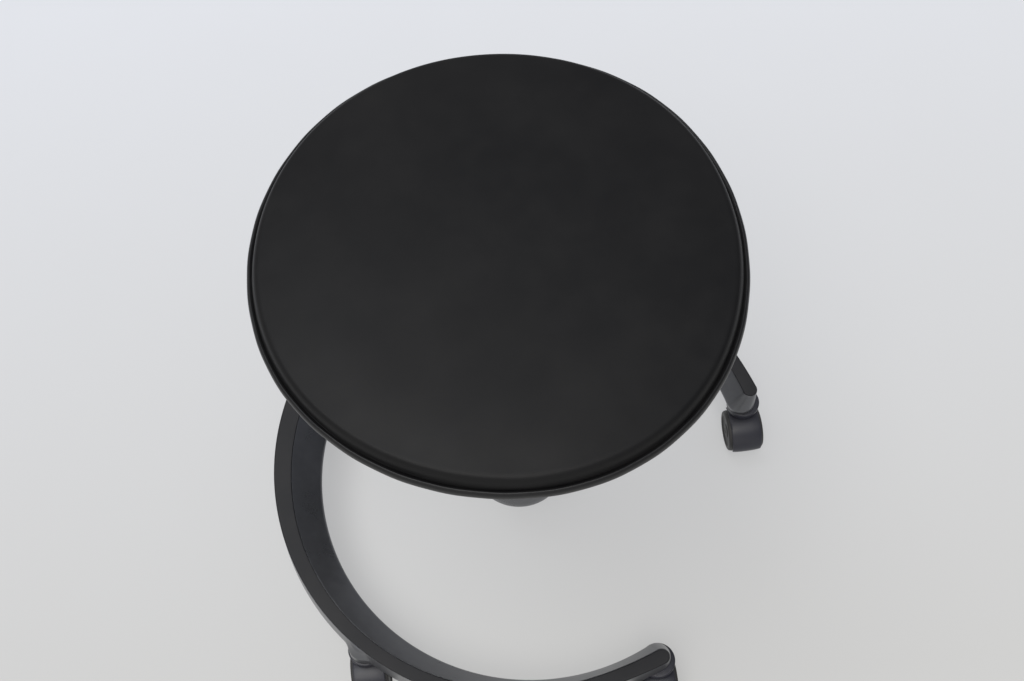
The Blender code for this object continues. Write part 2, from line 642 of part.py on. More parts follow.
def build_castors():
    axle_z = WHEEL_RADIUS * math.cos(math.pi / WHEEL_SIDES)
    arch = arc(HOOD_OUTER_RADIUS, HOOD_START, HOOD_END, HOOD_STEPS, CASTOR_TRAIL, axle_z)
    arch += arc(HOOD_INNER_RADIUS, HOOD_END, HOOD_START, HOOD_STEPS - 2, CASTOR_TRAIL, axle_z)
    web_radius = 0.5 * (HOOD_OUTER_RADIUS + HOOD_INNER_RADIUS)
    web = arc(web_radius, HOOD_START, WEB_END, WEB_STEPS, CASTOR_TRAIL, axle_z)
    neck = 1.7 * STEM_RADIUS
    web += [(neck, WEB_NECK_TOP_Z), (-neck, WEB_NECK_TOP_Z), (-neck, STEM_FOOT_Z - STEM_FLOOR)]
    low = 0.5 * axle_z
    web += [(CASTOR_TRAIL - 0.4 * WHEEL_RADIUS, low), (CASTOR_TRAIL + 0.4 * WHEEL_RADIUS, low)]
    collar = [
        (0.0, COLLAR_FOOT_Z),
        (COLLAR_RADIUS - COLLAR_EDGE, COLLAR_FOOT_Z),
        (COLLAR_RADIUS, COLLAR_FOOT_Z + COLLAR_EDGE),
        (COLLAR_RADIUS, COLLAR_TOP_Z),
        (0.0, COLLAR_TOP_Z),
    ]
    socket = [
        (0.0, STEM_FOOT_Z - SEAT_GAP),
        (STEM_RADIUS + SEAT_GAP, STEM_FOOT_Z - SEAT_GAP),
        (STEM_RADIUS + SEAT_GAP, COLLAR_TOP_Z + CUT_REACH),
        (0.0, COLLAR_TOP_Z + CUT_REACH),
    ]
    bore = AXLE_RADIUS + SEAT_GAP
    past = WHEEL_OUTER_Y + CUT_REACH
    cross = [(0.0, -past), (bore, -past), (bore, past), (0.0, past)]

    def sideways(u, v, push):
        return (u, push, v)

    hood = add_object("hood_tool", *prism(arch, -HOOD_HALF_WIDTH, HOOD_HALF_WIDTH, sideways))
    middle = add_object("web_tool", *prism(web, -WEB_HALF_WIDTH, WEB_HALF_WIDTH, sideways))
    crown = add_object("collar_tool", *revolve(collar, BOSS_SIDES))
    combine(hood, [middle, crown], "UNION")
    pocket = add_object("socket_tool", *revolve(socket, SMALL_SIDES))
    verts, faces = revolve(cross, SMALL_SIDES, across=True)
    drill = add_object("bore_tool", [(u + CASTOR_TRAIL, v, w + axle_z) for u, v, w in verts], faces)
    combine(hood, [pocket, drill], "DIFFERENCE")
    finish(flatten(hood), "nylon")

    face_y = WHEEL_OUTER_Y - WHEEL_DISH
    tread = 0.93 * WHEEL_RADIUS
    dish = 0.72 * WHEEL_RADIUS
    wheel = [
        (bore, WHEEL_INNER_Y),
        (WHEEL_RADIUS, WHEEL_INNER_Y),
        (WHEEL_RADIUS, WHEEL_OUTER_Y - WHEEL_BEVEL),
        (tread, WHEEL_OUTER_Y),
        (dish, WHEEL_OUTER_Y),
        (dish - WHEEL_DISH, face_y),
        (bore, face_y),
    ]
    stem = [
        (0.0, STEM_FOOT_Z),
        (STEM_RADIUS, STEM_FOOT_Z),
        (STEM_RADIUS, STEM_TOP_Z - 0.2 * STEM_RADIUS),
        (0.8 * STEM_RADIUS, STEM_TOP_Z),
        (0.0, STEM_TOP_Z),
    ]
    axle = [(0.0, -AXLE_HALF), (AXLE_RADIUS, -AXLE_HALF), (AXLE_RADIUS, AXLE_HALF), (0.0, AXLE_HALF)]
    half_facet = math.pi / WHEEL_SIDES - 0.5 * math.pi
    for index in range(CASTOR_COUNT):
        x, y = castor_spot(index)
        heading = math.radians(TRAIL_ANGLES[index])
        turn = Matrix.Rotation(heading, 4, "Z")
        label = f"castor_{index + 1}"
        verts, faces = revolve(stem, SMALL_SIDES)
        post = finish(add_object(f"{label}_stem", verts, faces), "steel")
        post.location = (x, y, 0.0)
        shell = bpy.data.objects.new(f"{label}_hood", hood.data.copy())
        bpy.context.scene.collection.objects.link(shell)
        shell.location = (x, y, 0.0)
        shell.rotation_euler = (0.0, 0.0, heading)
        spot = Vector((x, y, 0.0)) + turn @ Vector((CASTOR_TRAIL, 0.0, axle_z))
        verts, faces = revolve(axle, SMALL_SIDES, across=True)
        pieces = [finish(add_object(f"{label}_axle", verts, faces), "steel")]
        for side, name in ((1.0, "left"), (-1.0, "right")):
            profile = [(r, side * h) for r, h in wheel]
            verts, faces = revolve(profile, WHEEL_SIDES, across=True, phase=half_facet)
            pieces.append(finish(add_object(f"{label}_wheel_{name}", verts, faces), "nylon"))
        for piece in pieces:
            piece.location = spot
            piece.rotation_euler = (0.0, 0.0, heading)
    bpy.data.objects.remove(hood, do_unlink=True)


def build_joint():
    pivot = (0.0, 0.0, PIVOT_Z)
    low_in = math.asin(LINER_FOOT_DZ / LINER_INNER_RADIUS)
    high_in = math.asin(LINER_TOP_DZ / LINER_INNER_RADIUS)
    low_out = math.asin(LINER_FOOT_DZ / LINER_OUTER_RADIUS)
    high_out = math.asin(LINER_TOP_DZ / LINER_OUTER_RADIUS)
    liner = arc(LINER_OUTER_RADIUS, low_out, high_out, 5, 0.0, PIVOT_Z)
    liner += arc(LINER_INNER_RADIUS, high_in, low_in, 7, 0.0, PIVOT_Z)
    turned("joint_liner", liner, "rubber", BALL_SIDES, pivot)

    foot = math.asin(RETAINER_FOOT_DZ / LINER_INNER_RADIUS)
    grip = math.asin(RETAINER_GRIP_DZ / LINER_INNER_RADIUS)
    seat_z = RING_SEAT_Z + SEAT_GAP
    retainer = [(RING_SEAT_RADIUS - SEAT_GAP, seat_z), (RING_SEAT_RADIUS - SEAT_GAP, HUB_TOP_Z)]
    retainer += [(RETAINER_MOUTH_RADIUS, HUB_TOP_Z)]
    retainer += arc(LINER_INNER_RADIUS, grip, foot, 3, 0.0, PIVOT_Z)
    retainer += [(LINER_OUTER_RADIUS, seat_z)]
    turned("joint_ring", retainer, "zinc", BALL_SIDES, pivot)

    neck = math.acos(NECK_RADIUS / BALL_RADIUS)
    low = math.asin(BALL_FOOT_DZ / BALL_RADIUS)
    steps = math.ceil((neck - low) / ARC_STEP)
    ball = [(0.0, PIVOT_Z + BALL_FOOT_DZ)]
    ball += arc(BALL_RADIUS, low, neck, steps, 0.0, PIVOT_Z)
    ball += [
        (NECK_RADIUS, FLANGE_Z - 0.5 * NECK_RADIUS),
        (1.4 * NECK_RADIUS, FLANGE_Z),
        (FLANGE_RADIUS, FLANGE_Z + 0.3 * NECK_RADIUS),
        (FLANGE_RADIUS, FLANGE_TOP_Z),
        (SPIGOT_RADIUS, FLANGE_TOP_Z),
        (SPIGOT_RADIUS, SPIGOT_TOP_Z),
        (0.0, SPIGOT_TOP_Z),
    ]
    turned("pivot_foot", ball, "steel", BALL_SIDES, pivot)


def build_spring(foot, top):
    # Height of the wire's middle along the turns: close at both ends, open between.
    count = int(round(SPRING_TURNS * SPRING_POINTS_PER_TURN)) + 1
    turns = np.linspace(0.0, SPRING_TURNS, count)
    dead = SPRING_DEAD_TURNS * SPRING_DEAD_PITCH
    knots = [0.0, SPRING_DEAD_TURNS, SPRING_TURNS - SPRING_DEAD_TURNS, SPRING_TURNS]
    heights = np.interp(turns, knots, [foot, foot + dead, top - dead, top])
    angles = 2.0 * np.pi * turns
    middle = np.c_[SPRING_RADIUS * np.cos(angles), SPRING_RADIUS * np.sin(angles), heights]
    along = np.gradient(middle, axis=0)
    along /= np.linalg.norm(along, axis=1)[:, None]
    out = np.c_[np.cos(angles), np.sin(angles), np.zeros(count)]
    lift = np.cross(along, out)
    lift /= np.linalg.norm(lift, axis=1)[:, None]
    sections = []
    for k in range(count):
        loop = []
        for s in range(WIRE_SIDES):
            t = 2.0 * math.pi * s / WIRE_SIDES
            loop.append(tuple(middle[k] + WIRE_RADIUS * (math.cos(t) * out[k] + math.sin(t) * lift[k])))
        sections.append(loop)
    apart = np.abs(turns[:, None] - turns[None, :])
    spread = np.linalg.norm(middle[:, None] - middle[None, :], axis=2)
    least = spread[apart > 0.5].min() - 2.0 * WIRE_RADIUS
    print(f"spring: least gap to itself {1000.0 * least:.2f} mm")
    finish(add_object("spring", *loft(sections), (0.0, 0.0, PIVOT_Z)), "black_steel")


def build_strut():
    pivot = (0.0, 0.0, PIVOT_Z)
    tube = tube_profile(TUBE_INNER_RADIUS, TUBE_OUTER_RADIUS, FLANGE_TOP_Z + SEAT_GAP, TUBE_TOP_Z)
    turned("guide_tube", tube, "black_steel", ROUND_SIDES, pivot)
    rim_z = TUBE_TOP_Z + SEAT_GAP
    sleeve = [
        (SLEEVE_INNER_RADIUS, SLEEVE_FOOT_Z),
        (TUBE_INNER_RADIUS - SEAT_GAP, SLEEVE_FOOT_Z),
        (TUBE_INNER_RADIUS - SEAT_GAP, rim_z),
        (TUBE_OUTER_RADIUS, rim_z),
        (TUBE_OUTER_RADIUS, rim_z + SLEEVE_FLANGE),
        (SLEEVE_INNER_RADIUS, rim_z + SLEEVE_FLANGE),
    ]
    turned("guide_sleeve", sleeve, "acetal", ROUND_SIDES, pivot)
    sides = 3 * TENSION_FLUTES
    bevel = TENSION_FLUTE
    collar = [
        (COLLAR_BORE, TENSION_FOOT_Z),
        (TENSION_RADIUS - bevel, TENSION_FOOT_Z),
        (TENSION_RADIUS, TENSION_FOOT_Z + bevel),
        (TENSION_RADIUS, TENSION_TOP_Z - bevel),
        (TENSION_RADIUS - bevel, TENSION_TOP_Z),
        (COLLAR_BORE, TENSION_TOP_Z),
    ]
    verts, faces = revolve(collar, sides)
    fluted = []
    for x, y, z in verts:
        reach = math.hypot(x, y)
        wave = TENSION_FLUTE * math.cos(TENSION_FLUTES * math.atan2(y, x))
        push = wave if reach > FLANGE_RADIUS else 0.0
        scale = (reach + push) / reach
        fluted.append((x * scale, y * scale, z))
    finish(add_object("tension_collar", fluted, faces, pivot), "nylon")
    foot = TENSION_TOP_Z + SEAT_GAP
    floor = foot + CUP_PLATE
    lip = floor + CUP_RIM_HEIGHT
    lower = [
        (COLLAR_BORE, foot),
        (CUP_RADIUS, foot),
        (CUP_RADIUS, lip),
        (CUP_RADIUS - CUP_RIM, lip),
        (CUP_RADIUS - CUP_RIM, floor),
        (LOWER_CUP_HUB_RADIUS, floor),
        (LOWER_CUP_HUB_RADIUS, lip),
        (COLLAR_BORE, lip),
    ]
    turned("lower_spring_cup", lower, "zinc", ROUND_SIDES, pivot)
    upper = [
        (SLEEVE_INNER_RADIUS, UPPER_CUP_Z),
        (CUP_RADIUS - CUP_RIM, UPPER_CUP_Z),
        (CUP_RADIUS - CUP_RIM, UPPER_CUP_Z - CUP_RIM_HEIGHT),
        (CUP_RADIUS, UPPER_CUP_Z - CUP_RIM_HEIGHT),
        (CUP_RADIUS, UPPER_CUP_Z + CUP_PLATE),
        (UPPER_CUP_HUB_RADIUS, UPPER_CUP_Z + CUP_PLATE),
        (UPPER_CUP_HUB_RADIUS, UPPER_CUP_HUB_TOP_Z),
        (SLEEVE_INNER_RADIUS, UPPER_CUP_HUB_TOP_Z),
    ]
    turned("upper_spring_cup", upper, "zinc", ROUND_SIDES, pivot)
    clip_z = UPPER_CUP_HUB_TOP_Z + SEAT_GAP
    clip = tube_profile(SLEEVE_INNER_RADIUS, CIRCLIP_RADIUS, clip_z, clip_z + CIRCLIP_HEIGHT)
    turned("spring_circlip", clip, "steel", ROUND_SIDES, pivot)
    reach = WIRE_RADIUS + SEAT_GAP
    build_spring(floor + reach, UPPER_CUP_Z - reach)


def build_column():
    pivot = (0.0, 0.0, PIVOT_Z)
    column = [
        (ROD_HOLE, COLUMN_FOOT_Z),
        (COLUMN_RADIUS, COLUMN_FOOT_Z),
        (COLUMN_RADIUS, COLUMN_TOP_Z),
        (COLUMN_BORE, COLUMN_TOP_Z),
        (COLUMN_BORE, COLUMN_FLOOR_Z),
        (ROD_HOLE, COLUMN_FLOOR_Z),
    ]
    turned("column_tube", column, "steel", ROUND_SIDES, pivot)
    ring_top = SLEEVE_FOOT_Z - SEAT_GAP
    ring = tube_profile(SLEEVE_INNER_RADIUS, TUBE_INNER_RADIUS - SEAT_GAP, COLUMN_RING_FOOT_Z, ring_top)
    turned("column_ring", ring, "acetal", ROUND_SIDES, pivot)
    rim_z = COLUMN_TOP_Z + SEAT_GAP
    bush = [
        (BUSH_BORE, BUSH_FOOT_Z),
        (COLUMN_BORE - SEAT_GAP, BUSH_FOOT_Z),
        (COLUMN_BORE - SEAT_GAP, rim_z),
        (COLUMN_RADIUS, rim_z),
        (COLUMN_RADIUS, rim_z + BUSH_FLANGE),
        (BUSH_BORE, rim_z + BUSH_FLANGE),
    ]
    turned("cylinder_bush", bush, "acetal", ROUND_SIDES, pivot)
    race_z = COLUMN_FLOOR_Z + SEAT_GAP
    race_top = race_z + BEARING_HEIGHT
    groove = 0.2 * BEARING_HEIGHT
    bearing = [
        (BEARING_INNER_RADIUS, race_z),
        (BEARING_OUTER_RADIUS, race_z),
        (BEARING_OUTER_RADIUS, race_z + groove),
        (BEARING_OUTER_RADIUS - groove, race_z + 0.5 * BEARING_HEIGHT),
        (BEARING_OUTER_RADIUS, race_top - groove),
        (BEARING_OUTER_RADIUS, race_top),
        (BEARING_INNER_RADIUS, race_top),
    ]
    turned("thrust_bearing", bearing, "steel", ROUND_SIDES, pivot)
    shoulder = race_top + SEAT_GAP
    rod = [
        (0.0, ROD_FOOT_Z),
        (0.8 * ROD_RADIUS, ROD_FOOT_Z),
        (ROD_RADIUS, ROD_FOOT_Z + 0.2 * ROD_RADIUS),
        (ROD_RADIUS, shoulder),
        (ROD_SHOULDER_RADIUS, shoulder),
        (ROD_SHOULDER_RADIUS, shoulder + ROD_SHOULDER_HEIGHT),
        (ROD_RADIUS, shoulder + ROD_SHOULDER_HEIGHT),
        (ROD_RADIUS, PISTON_FOOT_Z),
        (PISTON_RADIUS, PISTON_FOOT_Z),
        (PISTON_RADIUS, PISTON_TOP_Z),
        (0.0, PISTON_TOP_Z),
    ]
    turned("piston_rod", rod, "steel", BOSS_SIDES, pivot)
    clip_top = COLUMN_FOOT_Z - SEAT_GAP
    clip = tube_profile(ROD_HOLE, CLIP_RADIUS, clip_top - CLIP_HEIGHT, clip_top)
    turned("rod_clip", clip, "steel", BOSS_SIDES, pivot)
    valve = BUTTON_RADIUS + SEAT_GAP
    cylinder = [
        (CYLINDER_BORE, CYLINDER_FOOT_Z),
        (CYLINDER_RADIUS, CYLINDER_FOOT_Z),
        (CYLINDER_RADIUS, TAPER_FOOT_Z),
        (TAPER_TOP_RADIUS, CYLINDER_TOP_Z),
        (valve, CYLINDER_TOP_Z),
        (valve, CYLINDER_BORE_TOP_Z),
        (CYLINDER_BORE, CYLINDER_BORE_TOP_Z),
    ]
    turned("gas_cylinder", cylinder, "black_steel", ROUND_SIDES, pivot)
    foot = CYLINDER_FOOT_Z + SEAT_GAP
    gland = tube_profile(ROD_HOLE, CYLINDER_BORE - SEAT_GAP, foot, GLAND_TOP_Z)
    turned("cylinder_gland", gland, "bronze", ROUND_SIDES, pivot)
    button = [
        (0.0, BUTTON_FOOT_Z),
        (BUTTON_RADIUS, BUTTON_FOOT_Z),
        (BUTTON_RADIUS, BUTTON_TOP_Z - 0.25 * BUTTON_RADIUS),
        (0.75 * BUTTON_RADIUS, BUTTON_TOP_Z),
        (0.0, BUTTON_TOP_Z),
    ]
    turned("release_button", button, "steel", BOSS_SIDES, (0.0, 0.0, BUTTON_FOOT_Z))


def screw_spots():
    return [(SCREW_X, SCREW_Y), (-SCREW_X, SCREW_Y), (-SCREW_X, -SCREW_Y), (SCREW_X, -SCREW_Y)]


def build_bracket():
    wide = BRACKET_HALF_WIDTH
    low = BRACKET_HALF_FLOOR
    high = low + BRACKET_DRAFT
    sheet = BRACKET_SHEET
    skin = 0.8 * sheet
    under = BRACKET_TOP_Z - sheet
    hat = [
        (-wide, under),
        (-high, under),
        (-low, BRACKET_FLOOR_Z),
        (low, BRACKET_FLOOR_Z),
        (high, under),
        (wide, under),
        (wide, BRACKET_TOP_Z),
        (high - skin, BRACKET_TOP_Z),
        (low - skin, BRACKET_FLOOR_Z + sheet),
        (-low + skin, BRACKET_FLOOR_Z + sheet),
        (-high + skin, BRACKET_TOP_Z),
        (-wide, BRACKET_TOP_Z),
    ]

    def lengthways(u, v, push):
        return (push, u, v)

    bracket = add_object("seat_bracket", *prism(hat, -BRACKET_HALF_LENGTH, BRACKET_HALF_LENGTH, lengthways))
    top = BRACKET_FLOOR_Z + 0.5 * sheet
    socket = [
        (0.0, TAPER_FOOT_Z),
        (0.9 * SOCKET_RADIUS, TAPER_FOOT_Z),
        (SOCKET_RADIUS, TAPER_FOOT_Z + 0.1 * SOCKET_RADIUS),
        (SOCKET_RADIUS, top - 0.2 * SOCKET_RADIUS),
        (1.2 * SOCKET_RADIUS, top),
        (0.0, top),
    ]
    combine(bracket, [add_object("socket_tool", *revolve(socket, ROUND_SIDES))], "UNION")
    slope = (CYLINDER_RADIUS - TAPER_TOP_RADIUS) / (CYLINDER_TOP_Z - TAPER_FOOT_Z)
    reach = CUT_REACH
    wide_end = CYLINDER_RADIUS + SEAT_GAP + slope * reach
    small_end = TAPER_TOP_RADIUS + SEAT_GAP - slope * reach
    taper = [
        (0.0, TAPER_FOOT_Z - reach),
        (wide_end, TAPER_FOOT_Z - reach),
        (small_end, CYLINDER_TOP_Z + reach),
        (0.0, CYLINDER_TOP_Z + reach),
    ]
    tools = [add_object("taper_tool", *revolve(taper, ROUND_SIDES))]
    cross = [(0.0, -wide), (PIN_HOLE, -wide), (PIN_HOLE, wide), (0.0, wide)]
    verts, faces = revolve(cross, SMALL_SIDES, across=True)
    verts = [(x + LEVER_PIVOT_X, y, z + LEVER_PIVOT_Z) for x, y, z in verts]
    tools.append(add_object("pin_tool", verts, faces))
    hole = SCREW_RADIUS + SEAT_GAP
    drill = [(0.0, under - reach), (hole, under - reach), (hole, SCREW_TOP_Z), (0.0, SCREW_TOP_Z)]
    for x, y in screw_spots():
        verts, faces = revolve(drill, SMALL_SIDES)
        tools.append(add_object("drill_tool", [(u + x, v + y, w) for u, v, w in verts], faces))
    finish(flatten(combine(bracket, tools, "DIFFERENCE")), "black_steel")
    head_top = under - SEAT_GAP
    screw = [
        (0.0, head_top - SCREW_HEAD_HEIGHT),
        (0.7 * SCREW_HEAD_RADIUS, head_top - SCREW_HEAD_HEIGHT),
        (SCREW_HEAD_RADIUS, head_top - 0.5 * SCREW_HEAD_HEIGHT),
        (SCREW_HEAD_RADIUS, head_top),
        (SCREW_RADIUS, head_top),
        (SCREW_RADIUS, SCREW_TOP_Z),
        (0.0, SCREW_TOP_Z),
    ]
    for index, (x, y) in enumerate(screw_spots()):
        verts, faces = revolve(screw, SMALL_SIDES)
        part = finish(add_object(f"seat_screw_{index + 1}", verts, faces), "zinc")
        part.location = (x, y, 0.0)


def build_lever():
    px, pz = LEVER_PIVOT_X, LEVER_PIVOT_Z
    bar = LEVER_HALF_BAR
    boss = LEVER_BOSS
    drop = pz - LEVER_DROP
    outline = [
        (LEVER_TIP_X, pz - bar),
        (px - 1.6 * boss, pz - bar),
        (px - 0.9 * boss, pz - boss),
        (px + 0.9 * boss, pz - boss),
        (px + 1.6 * boss, pz - bar),
        (LEVER_BEND_X - 0.5 * bar, pz - bar),
        (LEVER_DROP_X - 0.5 * bar, drop - bar),
        (LEVER_END_X, drop - bar),
        (LEVER_END_X, drop + bar),
        (LEVER_DROP_X + 0.5 * bar, drop + bar),
        (LEVER_BEND_X + 0.5 * bar, pz + bar),
        (px + 1.6 * boss, pz + bar),
        (px + 0.9 * boss, pz + boss),
        (px - 0.9 * boss, pz + boss),
        (px - 1.6 * boss, pz + bar),
        (LEVER_TIP_X, pz + bar),
    ]

    def sideways(u, v, push):
        return (u, push, v)

    pivot = (px, 0.0, pz)
    lever = add_object("lever", *prism(outline, -LEVER_HALF_WIDTH, LEVER_HALF_WIDTH, sideways), pivot)
    reach = 2.0 * LEVER_HALF_WIDTH
    bore = [(0.0, -reach), (PIN_HOLE, -reach), (PIN_HOLE, reach), (0.0, reach)]
    verts, faces = revolve(bore, SMALL_SIDES, across=True)
    drill = add_object("bore_tool", [(x + px, y, z + pz) for x, y, z in verts], faces)
    finish(flatten(combine(lever, [drill], "DIFFERENCE")), "zinc")
    pin = [(0.0, -PIN_HALF), (PIN_RADIUS, -PIN_HALF), (PIN_RADIUS, PIN_HALF), (0.0, PIN_HALF)]
    verts, faces = revolve(pin, SMALL_SIDES, across=True)
    rod = finish(add_object("lever_pin", verts, faces), "steel")
    rod.location = pivot

    half = GRIP_HALF_WIDTH
    round_end = arc(half, -0.5 * math.pi, 0.5 * math.pi, 8, GRIP_END_X - half, 0.0)
    plan = [(GRIP_START_X, -0.7 * half)] + round_end + [(GRIP_START_X, 0.7 * half)]
    centre = 0.5 * (GRIP_START_X + GRIP_END_X)
    shrink = 1.0 - GRIP_EDGE / half
    levels = ((-1.0, shrink), (-0.5, 1.0), (0.5, 1.0), (1.0, shrink))
    sections = []
    for level, scale in levels:
        z = drop + level * GRIP_HALF_HEIGHT
        sections.append([(centre + (x - centre) * scale, y * scale, z) for x, y in plan])
    grip = add_object("lever_grip", *loft(sections), pivot)
    start = GRIP_START_X - 2.0 * GRIP_EDGE
    end = LEVER_END_X + SEAT_GAP
    side = LEVER_HALF_WIDTH + SEAT_GAP
    tall = bar + SEAT_GAP
    slot = [(start, -side), (end, -side), (end, side), (start, side)]

    def upright(u, v, push):
        return (u, v, push)

    cutter = add_object("slot_tool", *prism(slot, drop - tall, drop + tall, upright))
    finish(flatten(combine(grip, [cutter], "DIFFERENCE")), "nylon")


def shell_under(radius):
    rise = max(0.0, radius - SHELL_FLAT_RADIUS) / (SHELL_RADIUS - SHELL_FLAT_RADIUS)
    return SHELL_FLAT_Z + SHELL_RISE * rise


def sway(angle):
    total = -SEAT_DRAW
    for waves, push, crest in SEAT_SWAY:
        total += push * math.cos(waves * (angle - math.radians(crest)))
    return total


def padded(name, profile):
    # A turned form whose outer points follow the sway of the outline by their share.
    verts, faces = revolve([(r, z) for r, z, share in profile], SEAT_STEPS)
    shares = []
    for r, z, share in profile:
        shares += [share] * (1 if r < 1e-9 else SEAT_STEPS)
    moved = []
    for (x, y, z), share in zip(verts, shares):
        angle = math.atan2(y, x)
        push = share * sway(angle)
        moved.append((x + push * math.cos(angle), y + push * math.sin(angle), z))
    finish(add_object(name, moved, faces), "leather")


def build_seat():
    lip = 0.25 * SHELL_WALL
    shell = [
        (0.0, SHELL_FLAT_Z),
        (SHELL_FLAT_RADIUS, SHELL_FLAT_Z),
        (SHELL_RADIUS - lip, shell_under(SHELL_RADIUS - lip)),
        (SHELL_RADIUS, shell_under(SHELL_RADIUS) + lip),
        (SHELL_RADIUS, shell_under(SHELL_RADIUS) + SHELL_WALL),
        (SHELL_FLAT_RADIUS, SHELL_FLAT_Z + SHELL_WALL),
        (0.0, SHELL_FLAT_Z + SHELL_WALL),
    ]
    pan = add_object("seat_shell", *revolve(shell, SEAT_STEPS))
    bodies = []
    boss_top = shell_under(math.hypot(SCREW_X, SCREW_Y)) + 0.4 * SHELL_WALL
    radius = SHELL_BOSS_RADIUS
    boss = [(0.0, SHELL_FLAT_Z), (radius, SHELL_FLAT_Z), (radius, boss_top), (0.0, boss_top)]
    hole = SCREW_RADIUS + SEAT_GAP
    blind = SCREW_TOP_Z + SEAT_GAP
    below = SHELL_FLAT_Z - CUT_REACH
    drill = [(0.0, below), (hole, below), (hole, blind), (0.0, blind)]
    drills = []
    for x, y in screw_spots():
        for name, profile, kept in (("boss_tool", boss, bodies), ("drill_tool", drill, drills)):
            verts, faces = revolve(profile, SMALL_SIDES)
            kept.append(add_object(name, [(u + x, v + y, w) for u, v, w in verts], faces))
    inner_z, outer_z = shell_under(RIB_START), shell_under(RIB_END)
    bite = 0.5 * SHELL_WALL
    rib = [
        (RIB_START, inner_z - RIB_DEPTH_INNER),
        (RIB_END, outer_z - RIB_DEPTH_OUTER),
        (RIB_END, outer_z + bite),
        (RIB_START, inner_z + bite),
    ]
    for index in range(SHELL_RIBS):
        angle = (index + 0.5) * 2.0 * math.pi / SHELL_RIBS
        cos_a, sin_a = math.cos(angle), math.sin(angle)

        def radial(u, v, push):
            return (u * cos_a - push * sin_a, u * sin_a + push * cos_a, v)

        bodies.append(add_object("rib_tool", *prism(rib, -RIB_HALF, RIB_HALF, radial)))
    combine(pan, bodies, "UNION")
    finish(flatten(combine(pan, drills, "DIFFERENCE")), "pan")

    rise = CROWN_RISE
    core = CUSHION_CORE_RADIUS
    foot_z = SHELL_RIM_Z + SEAT_GAP
    flat_z = SHELL_FLAT_Z + SHELL_WALL + SEAT_GAP
    cushion = [
        (0.0, CROWN_Z, 0.0),
        (0.25 * SEAT_RADIUS, SEAM_Z + 0.993 * rise, 0.0),
        (0.50 * SEAT_RADIUS, SEAM_Z + 0.956 * rise, 0.0),
        (0.75 * SEAT_RADIUS, SEAM_Z + 0.889 * rise, 0.3),
        (0.885 * SEAT_RADIUS, SEAM_Z + 0.81 * rise, 0.7),
        (0.945 * SEAT_RADIUS, SEAM_Z + 0.66 * rise, 0.9),
        (0.968 * SEAT_RADIUS, SEAM_Z + 0.44 * rise, 1.0),
        (0.9745 * SEAT_RADIUS, SEAM_Z + 0.20 * rise, 1.0),
        (SEAM_RADIUS, SEAM_Z + 0.06 * rise, 1.0),
        (0.960 * SEAT_RADIUS, SEAM_Z, 1.0),
        (core, SEAM_Z, 0.0),
        (core, foot_z + CUSHION_EDGE, 0.0),
        (SHELL_RADIUS + CUSHION_EDGE, foot_z, 0.0),
        (SHELL_RADIUS, foot_z, 0.0),
        (SHELL_FLAT_RADIUS, flat_z, 0.0),
        (0.0, flat_z, 0.0),
    ]
    padded("seat_cushion", cushion)
    top = SEAM_Z - SEAT_GAP
    inside = core + SEAT_GAP
    border = [
        (inside, top, 0.0),
        (0.965 * SEAT_RADIUS, top, 1.0),
        (0.988 * SEAT_RADIUS, top - BORDER_EDGE, 1.0),
        (SEAT_RADIUS, BORDER_BELLY_Z, 1.0),
        (0.994 * SEAT_RADIUS, 0.5 * (BORDER_BELLY_Z + BORDER_FOOT_Z), 1.0),
        (0.970 * SEAT_RADIUS, BORDER_FOOT_Z, 1.0),
        (inside, BORDER_FOOT_Z, 0.0),
    ]
    padded("seat_border", border)


clear_scene()
build_base()
build_castors()
build_joint()
build_strut()
build_column()
build_bracket()
build_lever()
build_seat()
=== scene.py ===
import bmesh
import bpy
import math
import numpy as np
from mathutils import Matrix


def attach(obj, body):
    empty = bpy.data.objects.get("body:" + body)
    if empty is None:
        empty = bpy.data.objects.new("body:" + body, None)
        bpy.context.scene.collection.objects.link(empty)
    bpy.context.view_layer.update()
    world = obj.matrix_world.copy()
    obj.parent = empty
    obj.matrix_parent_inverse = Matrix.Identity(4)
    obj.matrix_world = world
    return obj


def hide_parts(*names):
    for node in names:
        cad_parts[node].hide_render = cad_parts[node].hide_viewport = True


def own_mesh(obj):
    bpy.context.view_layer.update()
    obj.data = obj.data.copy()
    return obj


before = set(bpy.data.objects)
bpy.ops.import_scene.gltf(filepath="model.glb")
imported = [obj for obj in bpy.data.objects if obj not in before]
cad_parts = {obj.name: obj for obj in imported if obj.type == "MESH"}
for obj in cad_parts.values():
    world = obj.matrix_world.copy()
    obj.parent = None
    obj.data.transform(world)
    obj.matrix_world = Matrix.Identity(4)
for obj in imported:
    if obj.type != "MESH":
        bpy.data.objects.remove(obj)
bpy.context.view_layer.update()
print("frame loaded,", len(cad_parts), "nodes")

scene = bpy.context.scene
scene.view_settings.view_transform = "Standard"


# mesh helpers: every shape is a grid of points worked out as whole arrays

def softCorners(loop, reach, steps=3):
    # each corner of a closed outline turns into a quadratic curve that starts and ends `reach` millimetres from it
    loop = np.asarray(loop, float)
    reach = 0.001 * np.broadcast_to(np.asarray(reach, float), loop.shape[:-1])[..., None]

    def pulled(way):
        length = np.linalg.norm(way, axis=-1, keepdims=True)
        return loop + way * np.minimum(reach / np.maximum(length, 1e-9), 0.48)

    start = pulled(np.roll(loop, 1, axis=-2) - loop)[..., None, :]
    end = pulled(np.roll(loop, -1, axis=-2) - loop)[..., None, :]
    t = np.linspace(0.0, 1.0, steps + 1)[:, None]
    curve = (1 - t) ** 2 * start + 2 * t * (1 - t) * loop[..., None, :] + t**2 * end
    return curve.reshape(*loop.shape[:-2], -1, 2)


